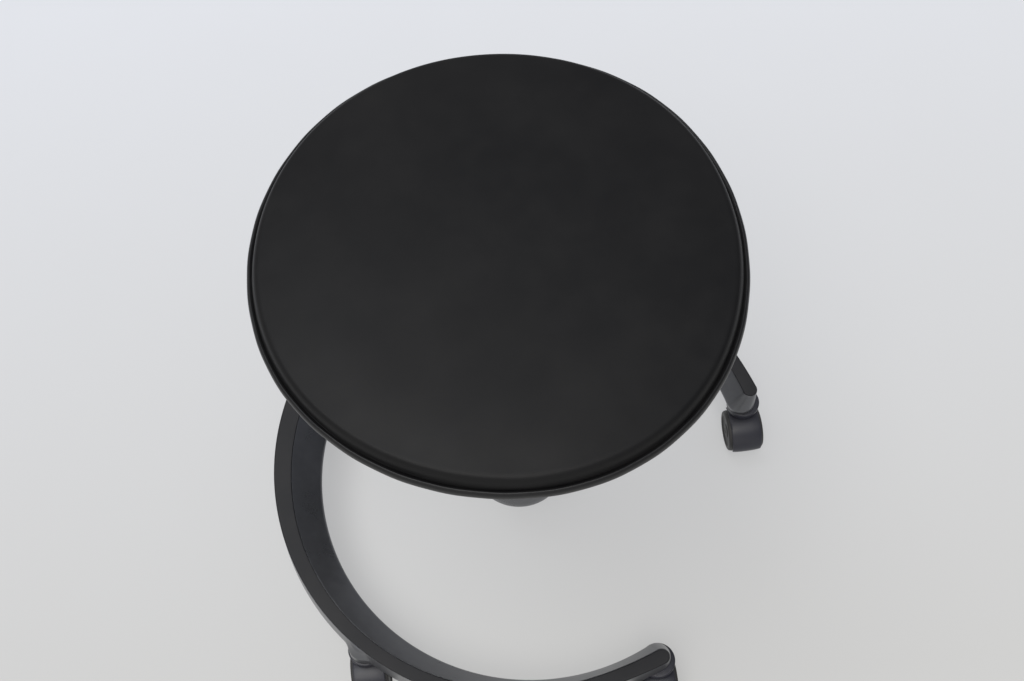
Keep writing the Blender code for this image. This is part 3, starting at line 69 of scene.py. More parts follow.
def gridPatch(points, closeRows=False, closeCols=False, caps=False):
    # quads between neighbouring points of a (rows, cols, 3) grid, wrapped where a direction closes on itself
    rows, cols = points.shape[:2]
    i, j = np.meshgrid(np.arange(rows - (not closeRows)), np.arange(cols - (not closeCols)), indexing="ij")
    n, m = (i + 1) % rows, (j + 1) % cols
    faces = np.stack([i * cols + j, i * cols + m, n * cols + m, n * cols + j], -1).reshape(-1, 4).tolist()
    if caps:
        faces += [list(range(cols)), list(range((rows - 1) * cols, rows * cols))]
    return points.reshape(-1, 3), faces


def fullTurn(count):
    return np.linspace(0.0, 2 * np.pi, count, endpoint=False)


def turned(profile, sides=96, closed=False, swell=None):
    # a profile of (radius, height) carried once round Z; swell gives a push outward for each (row, side)
    profile = np.asarray(profile, float)
    turn = fullTurn(sides)
    radius = profile[:, :1] + (0.0 if swell is None else swell)
    radius = np.broadcast_to(radius, (len(profile), sides))
    height = np.broadcast_to(profile[:, 1:], radius.shape)
    return gridPatch(np.stack([radius * np.cos(turn), radius * np.sin(turn), height], -1), closed, True)


def lathed(outline, reach, steps=3, sides=96, closed=False):
    # an outline with softened corners turned round Z
    return turned(softCorners(outline, reach, steps), sides, closed)


def tubeOutline(inner, outer, foot, top):
    return [(inner, foot), (outer, foot), (outer, top), (inner, top)]


def extruded(outline, half, edge, order=(0, 2, 1)):
    # an outline pushed both ways by half, with a quarter round at both ends; order puts (u, v, push) on X, Y and Z
    outline = np.asarray(outline, float)
    ahead = np.roll(outline, -1, 0) - np.roll(outline, 1, 0)
    inward = np.stack([-ahead[:, 1], ahead[:, 0]], -1)
    inward /= np.maximum(np.linalg.norm(inward, axis=1, keepdims=True), 1e-9)
    area = np.sum(outline[:, 0] * np.roll(outline[:, 1], -1) - np.roll(outline[:, 0], -1) * outline[:, 1])
    lean = np.radians([90.0, 60.0, 30.0, 0.0])
    draw, push = edge * (1 - np.cos(lean)), half - edge * (1 - np.sin(lean))
    draw, push = np.append(draw, draw[::-1]), np.append(-push, push[::-1])
    rows = outline + np.sign(area) * inward * draw[:, None, None]
    push = np.broadcast_to(push[:, None, None], (*rows.shape[:2], 1))
    return gridPatch(np.concatenate([rows, push], -1)[..., order], closeCols=True, caps=True)


def sections(corners, stations):
    # one outline per station; a corner is (across, height), each one number or one for every station
    return np.stack([np.stack(np.broadcast_arrays(*corner, stations)[:2], -1) for corner in corners], 1)


def moved(patch, turn=0.0, shift=(0.0, 0.0, 0.0)):
    # a patch turned about Z and put in its place
    points, faces = patch
    c, s = math.cos(turn), math.sin(turn)
    spin = np.array([[c, -s, 0.0], [s, c, 0.0], [0.0, 0.0, 1.0]])
    return points @ spin.T + np.asarray(shift, float), faces


def addObject(name, data):
    made = bpy.data.objects.new(name, data)
    scene.collection.objects.link(made)
    return made


def makePiece(name, patches, finish, sharp=40.0):
    # patches joined in one mesh, doubles merged at poles and seams, faces turned outwards
    points, faces, count = [], [], 0
    for pts, quads in patches:
        points.append(pts)
        faces += [[v + count for v in quad] for quad in quads]
        count += len(pts)
    mesh = bpy.data.meshes.new(name)
    mesh.from_pydata(np.concatenate(points).tolist(), [], faces)
    grid = bmesh.new()
    grid.from_mesh(mesh)
    bmesh.ops.remove_doubles(grid, verts=grid.verts, dist=2e-6)
    bmesh.ops.dissolve_degenerate(grid, edges=grid.edges, dist=1e-7)
    bmesh.ops.recalc_face_normals(grid, faces=grid.faces)
    grid.to_mesh(mesh)
    grid.free()
    mesh.shade_smooth()
    mesh.set_sharp_from_angle(angle=math.radians(sharp))
    mesh.materials.append(finish)
    return addObject(name, mesh)


def fitPiece(piece, body, node):
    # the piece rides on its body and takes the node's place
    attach(piece, body)
    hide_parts(node)


def addPiece(name, patches, finish, body, node, sharp=40.0):
    piece = makePiece(name, patches, finish, sharp)
    fitPiece(piece, body, node)
    return piece


def addLathed(name, finish, body, node, outline, reach, steps=3, closed=True):
    # a piece that is one outline turned round Z
    addPiece(name, [lathed(outline, reach, steps, closed=closed)], finish, body, node)


def meshPoints(piece):
    points = np.empty(len(piece.data.vertices) * 3, np.float32)
    piece.data.vertices.foreach_get("co", points)
    return points.reshape(-1, 3)


def markPoints(piece, name, values):
    # one number for each point, which the finish reads back as an attribute
    layer = piece.data.attributes.new(name, "FLOAT", "POINT")
    layer.data.foreach_set("value", np.asarray(values, np.float32))


# effects that several finishes share

def effectGroup(name, inputs, outputs):
    group = bpy.data.node_groups.new(name, "ShaderNodeTree")
    for label, value in inputs.items():
        group.interface.new_socket(label, in_out="INPUT", socket_type="NodeSocketFloat").default_value = value
    for label in outputs:
        group.interface.new_socket(label, in_out="OUTPUT", socket_type="NodeSocketFloat")
    return group, group.nodes.new("NodeGroupInput"), group.nodes.new("NodeGroupOutput")


def feed(tree, socket, value):
    # a socket linked to another one, or set to a value
    if isinstance(value, bpy.types.NodeSocket):
        tree.links.new(value, socket)
    else:
        socket.default_value = value


def addNode(tree, kind, feeds=(), **settings):
    # a node with its settings; feeds are (input name or number, socket or value)
    node = tree.nodes.new(kind)
    for key, value in settings.items():
        if hasattr(node, key):
            setattr(node, key, value)
        else:
            node.inputs[key].default_value = value
    for target, source in feeds:
        feed(tree, node.inputs[target], source)
    return node


def spread(tree, source, low, high, toLow=0.0, toHigh=1.0):
    # a value moved from one span to another and held inside it
    feeds = [("Value", source), ("From Min", low), ("From Max", high), ("To Min", toLow), ("To Max", toHigh)]
    return addNode(tree, "ShaderNodeMapRange", feeds, clamp=True).outputs["Result"]


def calc(tree, operation, first, second):
    return addNode(tree, "ShaderNodeMath", [(0, first), (1, second)], operation=operation).outputs[0]


def times(tree, first, second):
    return calc(tree, "MULTIPLY", first, second)


def tones(tree, mask, first, second):
    # two colours mixed by a mask
    pair = [(*tone, 1.0) if isinstance(tone, tuple) else tone for tone in (first, second)]
    feeds = [("Factor", mask), (6, pair[0]), (7, pair[1])]
    return addNode(tree, "ShaderNodeMix", feeds, data_type="RGBA").outputs[2]


def noise(tree, place, scale, detail, **more):
    feeds = [("Vector", place), ("Scale", scale)]
    return addNode(tree, "ShaderNodeTexNoise", feeds, Detail=detail, **more).outputs["Fac"]


def objectPlace(tree):
    return tree.nodes.new("ShaderNodeTexCoord").outputs["Object"]


def stretchedPlace(group, given):
    # Object coordinates, packed along Z by the group's Stretch
    tall = addNode(group, "ShaderNodeCombineXYZ", [("Z", given.outputs["Stretch"])], X=1.0, Y=1.0)
    feeds = [(0, objectPlace(group)), (1, tall.outputs[0])]
    return addNode(group, "ShaderNodeVectorMath", feeds, operation="MULTIPLY").outputs[0]


def mottleEffect():
    # cloudy change of tone: two noises of different size added up
    group, given, out = effectGroup("mottle", {"Scale": 20.0, "Stretch": 1.0}, ["Value"])
    place, scale = stretchedPlace(group, given), given.outputs["Scale"]
    broad, close = noise(group, place, scale, 3.0), noise(group, place, times(group, scale, 6.3), 2.0)
    total = calc(group, "ADD", times(group, broad, 0.7), times(group, close, 0.3))
    group.links.new(spread(group, total, 0.32, 0.68), out.inputs["Value"])
    return group


def grainEffect():
    # small raised cells with finer noise between them
    group, given, out = effectGroup("grain", {"Scale": 800.0, "Cells": 0.6, "Stretch": 1.0}, ["Height"])
    place, scale, share = stretchedPlace(group, given), given.outputs["Scale"], given.outputs["Cells"]
    cell = addNode(group, "ShaderNodeTexVoronoi", [("Vector", place), ("Scale", scale)], feature="SMOOTH_F1",
                   Smoothness=0.35)
    domes = calc(group, "SUBTRACT", 1.0, cell.outputs["Distance"])
    fine = times(group, noise(group, place, scale, 3.0), calc(group, "SUBTRACT", 1.0, share))
    group.links.new(calc(group, "ADD", times(group, domes, share), fine), out.inputs["Height"])
    return group


def rubEffect():
    # edges that hands and feet rub: sharp convex places, broken up by noise
    group, out = effectGroup("rub", {}, ["Mask"])[::2]
    edge = spread(group, group.nodes.new("ShaderNodeNewGeometry").outputs["Pointiness"], 0.53, 0.66)
    cloud = spread(group, noise(group, objectPlace(group), 90.0, 4.0), 0.35, 0.65, 0.25)
    group.links.new(times(group, edge, cloud), out.inputs["Mask"])
    return group


def dustEffect():
    # dust that settles on what faces up: a thin cloudy film and a few single specks
    group, given, out = effectGroup("dust", {"Specks": 45.0}, ["Film", "Speck"])
    normal, place = group.nodes.new("ShaderNodeNewGeometry").outputs["Normal"], objectPlace(group)
    up = addNode(group, "ShaderNodeSeparateXYZ", [(0, normal)]).outputs["Z"]
    cloud = spread(group, noise(group, place, 14.0, 6.0), 0.4, 0.75)
    cell = addNode(group, "ShaderNodeTexVoronoi", [("Vector", place), ("Scale", given.outputs["Specks"])])
    tint = addNode(group, "ShaderNodeSeparateColor", [(0, cell.outputs["Color"])])
    few = spread(group, tint.outputs["Red"], 0.93, 0.94)
    near = spread(group, cell.outputs["Distance"], 0.018, 0.03, 1.0, 0.0)
    group.links.new(times(group, spread(group, up, 0.5, 1.0), cloud), out.inputs["Film"])
    group.links.new(times(group, few, near), out.inputs["Speck"])
    return group


mottle, grain, rub, dust = mottleEffect(), grainEffect(), rubEffect(), dustEffect()


def placed(tree, group, **values):
    return addNode(tree, "ShaderNodeGroup", node_tree=group, **values)


def newFinish(name):
    made = bpy.data.materials.new(name)
    made.use_nodes = True
    return made, made.node_tree, made.node_tree.nodes["Principled BSDF"]


def surface(tree, shader, look, colour, rough, height):
    # what a finish ends in: its tone, its roughness and a bump from its heights
    bump = addNode(tree, "ShaderNodeBump", [("Height", height)], Strength=look["depth"], Distance=look["relief"])
    feed(tree, shader.inputs["Base Color"], colour)
    feed(tree, shader.inputs["Roughness"], rough)
    feed(tree, shader.inputs["Normal"], bump.outputs["Normal"])
    feed(tree, shader.inputs["Specular IOR Level"], look["gloss"])


plainLook = dict(rubbed=0.35, dusty=0.05, cells=0.5, depth=0.12, relief=0.0002, metal=0.0, gloss=0.5, stretch=1.0)


def coatFinish(name, **look):
    # a coated, moulded or turned surface: cloudy tone, rubbed edges, a film of dust and a fine skin
    look = dict(plainLook, **look)
    made, tree, shader = newFinish(name)
    stretch = look["stretch"]
    cloud = placed(tree, mottle, Scale=look["cloud"], Stretch=stretch).outputs["Value"]
    colour = tones(tree, cloud, look["deep"], look["pale"])
    worn = placed(tree, rub).outputs["Mask"]
    colour = tones(tree, times(tree, worn, look["rubbed"]), colour, look["bare"])
    film = placed(tree, dust).outputs["Film"]
    colour = tones(tree, times(tree, film, look["dusty"]), colour, (0.3, 0.29, 0.28))
    rough = calc(tree, "ADD", spread(tree, cloud, 0.0, 1.0, *look["rough"]), times(tree, film, 0.12))
    skin = placed(tree, grain, Scale=look["grain"], Cells=look["cells"], Stretch=stretch).outputs["Height"]
    shader.inputs["Metallic"].default_value = look["metal"]
    surface(tree, shader, look, colour, rough, skin)
    return made


castingPaint = coatFinish("castingPaint", deep=(0.115, 0.117, 0.124), pale=(0.148, 0.151, 0.16),
    bare=(0.28, 0.28, 0.29), rubbed=0.12, dusty=0.03, cloud=16.0, rough=(0.26, 0.34), grain=1500.0, depth=0.1,
    metal=0.92)
stripRubber = coatFinish("stripRubber", deep=(0.01, 0.01, 0.0113), pale=(0.015, 0.015, 0.0168),
    bare=(0.05, 0.05, 0.052), rubbed=0.3, cloud=24.0, rough=(0.5, 0.62), grain=2200.0, cells=0.8, depth=0.22,
    gloss=0.32)
# painted reflection: the blue in the castor nylon's tones stands in for the cool sheen of the sky on the hoods
castorNylon = coatFinish("castorNylon", deep=(0.01, 0.0102, 0.0175), pale=(0.0142, 0.0146, 0.024),
    bare=(0.058, 0.059, 0.066), dusty=0.06, cloud=40.0, rough=(0.34, 0.44), grain=2600.0, cells=0.7, depth=0.1)
wheelNylon = coatFinish("wheelNylon", deep=(0.014, 0.0135, 0.0135), pale=(0.022, 0.021, 0.02),
    bare=(0.08, 0.078, 0.075), rubbed=0.5, dusty=0.1, cloud=55.0, rough=(0.4, 0.55), grain=1800.0, cells=0.6,
    depth=0.14)
gripNylon = coatFinish("gripNylon", deep=(0.014, 0.014, 0.016), pale=(0.02, 0.02, 0.022), bare=(0.06, 0.06, 0.062),
    rubbed=0.4, cloud=45.0, rough=(0.42, 0.55), grain=1400.0, cells=0.85, depth=0.3, relief=0.0003)
blackCoat = coatFinish("blackCoat", deep=(0.015, 0.015, 0.017), pale=(0.021, 0.021, 0.024), bare=(0.16, 0.16, 0.17),
    dusty=0.06, cloud=30.0, rough=(0.32, 0.44), grain=1900.0)
zincPlate = coatFinish("zincPlate", deep=(0.38, 0.39, 0.42), pale=(0.5, 0.5, 0.5), bare=(0.66, 0.66, 0.66),
    rubbed=0.4, dusty=0.1, cloud=60.0, rough=(0.34, 0.5), grain=900.0, cells=0.3, depth=0.1, metal=1.0)
groundSteel = coatFinish("groundSteel", deep=(0.52, 0.53, 0.55), pale=(0.62, 0.63, 0.64), bare=(0.75, 0.75, 0.76),
    rubbed=0.3, cloud=30.0, rough=(0.22, 0.36), grain=300.0, cells=0.2, relief=0.0001, metal=1.0, stretch=18.0)
turnedBronze = coatFinish("turnedBronze", deep=(0.42, 0.29, 0.14), pale=(0.55, 0.4, 0.21), bare=(0.7, 0.55, 0.32),
    rubbed=0.4, cloud=50.0, rough=(0.3, 0.46), grain=300.0, cells=0.2, relief=0.0001, metal=1.0, stretch=18.0)
whiteAcetal = coatFinish("whiteAcetal", deep=(0.66, 0.65, 0.61), pale=(0.76, 0.75, 0.71), bare=(0.8, 0.79, 0.76),
    rubbed=0.3, dusty=0.1, cloud=40.0, rough=(0.36, 0.48), grain=1200.0, cells=0.4, depth=0.08)
linerRubber = coatFinish("linerRubber", deep=(0.012, 0.012, 0.012), pale=(0.02, 0.019, 0.018),
    bare=(0.05, 0.05, 0.05), rubbed=0.3, dusty=0.12, cloud=40.0, rough=(0.7, 0.85), grain=1600.0, depth=0.2,
    relief=0.0003)
panPlastic = coatFinish("panPlastic", deep=(0.02, 0.02, 0.022), pale=(0.028, 0.028, 0.03),
    bare=(0.07, 0.07, 0.072), cloud=20.0, rough=(0.52, 0.66), grain=1000.0, cells=0.85, depth=0.35, relief=0.0004)


def seatLeather(name, look):
    # smooth leather: cloudy dye, pebbled pores, a few stretch creases, puckers that fade in from the seam
    made, tree, shader = newFinish(name)
    cloud = placed(tree, mottle, Scale=look["cloud"]).outputs["Value"]
    pores = placed(tree, grain, Scale=look["grain"], Cells=0.75).outputs["Height"]
    film = placed(tree, dust, Specks=look["specks"])
    colour = tones(tree, cloud, look["deep"], look["pale"])
    colour = tones(tree, times(tree, film.outputs["Film"], look["dusty"]), colour, (0.2, 0.19, 0.18))
    colour = tones(tree, film.outputs["Speck"], colour, (0.33, 0.32, 0.31))
    rough = spread(tree, cloud, 0.0, 1.0, *look["rough"])
    crease = noise(tree, objectPlace(tree), look["creases"], 5.0, Distortion=1.2)
    nearSeam = addNode(tree, "ShaderNodeAttribute", attribute_name="nearSeam").outputs["Fac"]
    around = addNode(tree, "ShaderNodeAttribute", attribute_name="around").outputs["Fac"]
    ripple = addNode(tree, "ShaderNodeTexNoise", [("W", times(tree, around, look["puckers"]))],
                     noise_dimensions="1D", Detail=2.0)
    puckers = times(tree, calc(tree, "POWER", nearSeam, 2.0), ripple.outputs["Fac"])
    height = calc(tree, "ADD", times(tree, pores, 0.12), times(tree, crease, 0.4))
    height = calc(tree, "ADD", height, times(tree, puckers, 0.5))
    surface(tree, shader, look, colour, rough, height)
    return made


leatherLook = dict(deep=(0.004, 0.0039, 0.0043), pale=(0.0066, 0.0064, 0.0066), dusty=0.02, cloud=9.0, grain=900.0,
                   specks=26.0, rough=(0.43, 0.52), creases=26.0, puckers=260.0, depth=0.3, relief=0.0008, gloss=0.19)
blackLeather = seatLeather("blackLeather", leatherLook)
borderLeather = seatLeather("borderLeather", dict(leatherLook, rough=(0.36, 0.44), gloss=0.32))  # pulled tight
print("finishes made")


# base casting: C-shaped ring, spoke, hub and castor bosses

ring = dict(outer=0.271, flare=0.0028, inner=0.2346, offset=0.0152, offsetTurn=-10.7, tip=144.0, tipStart=126.0,
            tipFlare=0.006, back=154.0, top=0.099, edge=0.074, bottom=0.07, ceiling=0.092, wall=0.004,
            widthBack=0.021, widthSide=0.0145, widthTip=0.0165, land=0.0004, gap=0.0002, floor=0.0967, stations=421)
boss = dict(circle=0.265, radii=(0.0166, 0.0152, 0.0085, 0.004), heights=(0.066, 0.081, 0.094, 0.099), blend=0.007,
            reach=0.016, tipTop=0.0986, tipLevels=(0.08, 0.086, 0.092, 0.096), tipDraw=0.0012)
hub = dict(foot=0.0525, top=0.046, low=0.062, high=0.122, seatZ=0.11, seatRadius=0.042, chamfer=0.004)
spoke = dict(start=0.036, end=0.262, halfFoot=0.021, halfTop=0.013, foot=0.069, shoulder=0.086, top=0.0955, wall=0.004,
             draft=0.0004, flare=0.007, hubRun=0.03, ringRun=0.026)
strip = dict(play=0.0001, foot=0.097, edge=0.0994, crown=0.0995, stations=361, noseSteps=12)
castorTurns = np.radians(np.array([10.0, -62.0, -134.0, 154.0, 82.0]))  # the first two stand at the ring's tips
castorSpots = np.stack([boss["circle"] * np.cos(castorTurns), boss["circle"] * np.sin(castorTurns)], -1)
backTurn = math.radians(ring["back"])


def ringInner(t):
    # distance from the axis to the off-centre inner circle, t counted from the back
    away = t - math.radians(ring["offsetTurn"])
    return np.sqrt(ring["inner"] ** 2 - (ring["offset"] * np.sin(away)) ** 2) - ring["offset"] * np.cos(away)


def tipShare(t):
    # square of the way from where the flare starts to the tip
    past = (np.abs(np.degrees(t)) - ring["tipStart"]) / (ring["tip"] - ring["tipStart"])
    return np.clip(past, 0.0, 1.0) ** 2


def ringOuter(t):
    # plain radius, wider towards the tips
    return ring["outer"] + ring["tipFlare"] * tipShare(t)


def topWidth(t):
    # widest at the back by a squared cosine, and a little wider again at the tips
    swell = np.cos(np.minimum(np.abs(t), np.pi / 2)) ** 2
    width = ring["widthSide"] + (ring["widthBack"] - ring["widthSide"]) * swell
    return width + (ring["widthTip"] - ring["widthSide"]) * tipShare(t)


def swelled(radius, z, t):
    # smooth union of the outer wall with the nearest side boss, solved by halving along the radius
    away = t[:, None] + backTurn - castorTurns[None, 2:]
    away = (away + np.pi) % (2 * np.pi) - np.pi
    away = away[np.arange(len(t)), np.argmin(np.abs(away), 1)][:, None]
    reach = np.interp(z, boss["heights"], boss["radii"])
    low, high = np.zeros_like(radius), np.full_like(radius, boss["reach"])
    for halving in range(22):
        push = 0.5 * (low + high)
        r = radius + push
        cone = np.hypot(r * np.cos(away) - boss["circle"], r * np.sin(away)) - reach
        near = np.maximum(boss["blend"] - np.abs(push - cone), 0.0) / boss["blend"]
        union = np.minimum(push, cone) - near**2 * boss["blend"] / 4
        low, high = np.where(union < 0, push, low), np.where(union < 0, high, push)
    return radius + 0.5 * (low + high)


def ringSections(t):
    # closed outline of the ring at each station: sloped inner face, grooved top, upright wall, hollow underside
    top, edge, floor, low = ring["top"], ring["edge"], ring["floor"], ring["bottom"]
    ceiling, wall = ring["ceiling"], ring["wall"]
    inner, outer, width = ringInner(t), ringOuter(t), topWidth(t)
    ridge = outer - width
    run, rise = ridge - inner, top - edge
    slope = np.hypot(run, rise)
    hollowR, hollowZ = inner + wall * rise / slope, edge - wall * run / slope
    ceilingR = hollowR + (ceiling - hollowZ) * run / rise
    footR = hollowR + np.maximum(0.0, low - hollowZ) * run / rise
    middle, half = outer - 0.5 * width, 0.5 * width - ring["land"] + ring["gap"]
    flare = ring["flare"] * (1.0 - tipShare(t))
    foot = outer + flare
    corners = [(inner, low), (inner, edge), (ridge, top), (middle - half, top), (middle - half, floor),
               (middle + half, floor), (middle + half, top), (outer, top)]
    corners += [(outer + share * flare, top + share * (low - top)) for share in (0.16, 0.32, 0.48, 0.64, 0.8)]
    corners += [(foot, low), (foot - wall, low), (outer - wall, ceiling), (ceilingR, ceiling), (footR, low)]
    reach = [1.0, 2.6, 3.0, 0.2, 0.0, 0.0, 0.2, 1.8, *[1.5] * 5, 1.0, 0.8, 3.0, 3.0, 0.8]
    loop = softCorners(sections(corners, t), reach)
    outside = slice(7 * 4, 14 * 4)  # four points to a corner
    loop[:, outside, 0] = swelled(loop[:, outside, 0], loop[:, outside, 1], t)
    return loop


def roundRing(loop, t):
    # sections of (radius, height) stood up at their stations round the axis
    turn = (t + backTurn)[:, None]
    return np.stack([loop[..., 0] * np.cos(turn), loop[..., 0] * np.sin(turn), loop[..., 1]], -1)


def spokeSections(s):
    # hat outline carried from hub to ring, wider by a bell curve where it runs into either of them
    bells = [((s - spoke["start"]) / spoke["hubRun"]) ** 2, ((s - spoke["end"]) / spoke["ringRun"]) ** 2]
    flare = spoke["flare"] * np.sum(np.exp(-np.array(bells)), 0)
    foot, top, wall = spoke["halfFoot"] + flare, spoke["halfTop"] + flare, spoke["wall"]
    low, high = spoke["foot"], spoke["top"]
    right = [(top, high), (foot - spoke["draft"], spoke["shoulder"]), (foot, low), (foot - wall, low),
             (top - 0.5 * wall, high - wall)]
    reach = [5.0, 4.0, 1.0, 1.0, 3.0]
    loop = np.roll(sections(right + [(-across, z) for across, z in right[::-1]], s), 3, 1)
    loop = softCorners(loop, np.roll(reach + reach[::-1], 3), 4)
    c, q = math.cos(backTurn), math.sin(backTurn)
    along = s[:, None]
    return np.stack([along * c - loop[..., 0] * q, along * q + loop[..., 0] * c, loop[..., 1]], -1)


def tipBoss(t):
    # the ring's round end: at each height a circle from inner face to outer wall, hollow on top for the strip
    inner, outer = float(ringInner(t)), float(ringOuter(t))
    foot, floor = boss["heights"][0], ring["floor"]
    z = np.array([foot, ring["bottom"], ring["edge"], *boss["tipLevels"], boss["tipTop"]])
    ends = [inner + boss["tipDraw"], inner, outer - float(topWidth(t))]
    near = np.interp(z, [foot, ring["edge"], ring["top"]], ends)
    hollow = 0.5 * ring["widthTip"] - ring["land"] + ring["gap"]
    profile = [(0.0, foot), *zip(0.5 * (outer - near), z), (hollow, z[-1]), (hollow, floor), (0.0, floor)]
    reach = [0.0, 1.4, 1.0, 2.6, 2.0, 2.0, 2.0, 1.0, 0.8, 0.3, 0.0, 0.0]
    points, faces = lathed(profile, reach, 4, 80)
    middle = np.interp(points[:, 2:], z, 0.5 * (outer + near))
    return points + middle * np.array([math.cos(t + backTurn), math.sin(t + backTurn), 0.0]), faces


def buildBase():
    # ring and spoke as carried outlines, hub and bosses turned round their axes
    t = np.radians(np.linspace(-ring["tip"], ring["tip"], ring["stations"]))
    along = np.linspace(spoke["start"], spoke["end"], 40)
    grids = [roundRing(ringSections(t), t), spokeSections(along)]
    patches = [gridPatch(grid, closeCols=True, caps=True) for grid in grids]
    foot, low, high, cut = hub["foot"], hub["low"], hub["high"], hub["chamfer"]
    profile = [(0.0, low), (foot - cut, low), (foot, low + cut), (foot, ring["edge"]), (hub["top"], high),
               (hub["seatRadius"], high), (hub["seatRadius"], hub["seatZ"]), (0.0, hub["seatZ"])]
    patches.append(lathed(profile, [0.0, 3.0, 3.0, 4.0, 2.2, 0.6, 0.5, 0.0], 5, 120))
    patches += [tipBoss(end) for end in t[[0, -1]]]
    low, waist, high = boss["heights"][:3]
    wide, mid, slim = boss["radii"][:3]
    profile = [(0.0, low), (wide, low), (mid, waist), (slim, high), (0.0, high)]
    sideBoss = lathed(profile, [0.0, 1.4, 6.0, 2.0, 0.0], 5, 64)
    patches += [moved(sideBoss, shift=(x, y, 0.0)) for x, y in castorSpots[2:]]
    addPiece("baseCasting", patches, castingPaint, "base", "base_casting", 32.0)


def buildStrip():
    # the inlay follows the top of the ring and closes with a half round that keeps the tip's width
    tip, slack, count = math.radians(ring["tip"]), ring["land"] + strip["play"], strip["stations"]
    halfEnd = 0.5 * ring["widthTip"] - slack
    lean = np.linspace(0.0, np.pi / 2, strip["noseSteps"] + 1)[1:]
    nose = tip + halfEnd * np.sin(lean) / (float(ringOuter(tip)) - 0.5 * ring["widthTip"])
    t = np.concatenate([-nose[::-1], np.linspace(-tip, tip, count), nose])
    share = np.concatenate([np.cos(lean)[::-1], np.ones(count), np.cos(lean)])
    held = np.clip(t, -tip, tip)
    middle, half = ringOuter(held) - 0.5 * topWidth(held), (0.5 * topWidth(held) - slack) * share
    shape = [(-1.0, strip["foot"]), (-1.0, strip["edge"]), (-0.5, strip["crown"])]
    shape += [(-k, z) for k, z in shape[::-1]]
    loop = sections([(middle + k * half, z) for k, z in shape], t)
    loop = softCorners(loop, [0.0, 0.9, 2.0, 2.0, 0.9, 0.0], 4)
    skin = gridPatch(roundRing(loop, t), closeCols=True)
    addPiece("treadStrip", [skin], stripRubber, "base", "tread_strip")


buildBase()
buildStrip()
print("base made")


# castors

castor = dict(headings=(-88.0, -90.0, -88.0, -93.0, -88.0), trail=0.0175, axleZ=0.023705, hoodOut=0.0282,
              hoodIn=0.0256, half=0.0168, start=-5.0, end=150.0, web=0.0075, webBend=0.0269, webEnd=100.0,
              webHalf=0.0085, webHigh=0.056, webLow=0.033, webFoot=0.0096, collar=0.0182, collarFoot=0.0515,
              collarTop=0.0655)


def hoodPatches():
    # arch: a crowned band carried round the axle, fullest over the wheels; web and round collar inside it
    trail, axle, outer, inner = castor["trail"], castor["axleZ"], castor["hoodOut"], castor["hoodIn"]
    along = np.linspace(0.0, 1.0, 45)
    turn = np.radians(castor["start"] + (castor["end"] - castor["start"]) * along)
    half = castor["half"] * (1.0 - 0.05 * ((along - 0.45) / 0.55) ** 2)
    rim = 0.001 * np.exp(-((along / 0.05) ** 2))
    shape = [(-1.0, inner), (-1.0, outer - 0.001), (-0.6, outer - 0.0002), (0.0, outer)]
    shape += [(-k, r) for k, r in shape[2::-1]]
    loop = sections([(k * half, r - rim * (r > inner)) for k, r in shape], turn)
    loop = softCorners(loop, [0.4, 1.4, 4.0, 6.0, 4.0, 1.4, 0.4], 4)
    x, z = trail + loop[..., 1] * np.cos(turn)[:, None], axle + loop[..., 1] * np.sin(turn)[:, None]
    arch = gridPatch(np.stack([x, loop[..., 0], z], -1), closeCols=True, caps=True)
    bend, wide, foot = castor["webBend"], castor["webHalf"], castor["webFoot"]
    lean = np.radians(np.linspace(castor["start"], castor["webEnd"], 16))
    web = [*zip(trail + bend * np.cos(lean), axle + bend * np.sin(lean))]
    web += [(wide, castor["webHigh"]), (-wide, castor["webHigh"]), (-wide, castor["webLow"]),
            (trail - foot, 0.5 * axle), (trail + foot, 0.5 * axle)]
    web = extruded(softCorners(web, [*[1.0] * 18, 6.0, 4.0, 4.0]), castor["web"], 0.0008)
    collar, foot, top = castor["collar"], castor["collarFoot"], castor["collarTop"]
    neck = [(0.0, foot), (collar - 0.0035, foot), (collar, foot + 0.004), (collar, top), (0.0, top)]
    return [arch, web, lathed(neck, [0.0, 2.0, 3.0, 1.5, 0.0], 4, 64)]


def wheelPatch(side):
    # tread with rounded shoulders, dished disc with a raised rim and a hub cap, laid over so that it turns about Y
    loop = [(0.0028, 0.0082), (0.0229, 0.0082), (0.0237, 0.0098), (0.0237, 0.0169), (0.0223, 0.02), (0.0182, 0.02),
            (0.0172, 0.0186), (0.0085, 0.0184), (0.0076, 0.0195), (0.0028, 0.0197)]
    reach = [0.3, 1.0, 1.4, 2.2, 2.0, 0.8, 1.0, 0.8, 0.8, 0.6]
    outline = [(0.0, loop[0][1]), *softCorners(loop, reach, 4)[4:], (0.0, loop[-1][1])]
    points, faces = turned(outline, 72)
    return (points * (1.0, 1.0, side))[:, [0, 2, 1]], faces


def buildCastors():
    # the same hood and wheels at every boss, turned to the castor's heading
    hood, trail = hoodPatches(), castor["trail"]
    for index, ((x, y), heading) in enumerate(zip(castorSpots, np.radians(castor["headings"])), 1):
        label = f"castor_{index}"
        patches = [moved(patch, heading, (x, y, 0.0)) for patch in hood]
        addPiece(f"castorHood{index}", patches, castorNylon, label, f"{label}_hood")
        spot = (x + trail * math.cos(heading), y + trail * math.sin(heading), castor["axleZ"])
        for side, name in ((1.0, "left"), (-1.0, "right")):
            patches = [moved(wheelPatch(side), heading, spot)]
            addPiece(f"castorWheel{index}{name.title()}", patches, wheelNylon, f"{label}_{name}",
                     f"{label}_wheel_{name}")


buildCastors()
print("castors made")


# spring strut and gas lift

strut = dict(spring=0.0415, wire=0.0045, turns=8.0, dead=0.9, deadPitch=0.0096, wireLow=0.1731, wireHigh=0.3402,
             flutes=12, flute=0.0015, collarBore=0.0263, collarRadius=0.0505, collarFoot=0.15, collarTop=0.166,
             collarSides=216, ballZ=0.1, ball=0.024, cup=0.0245)


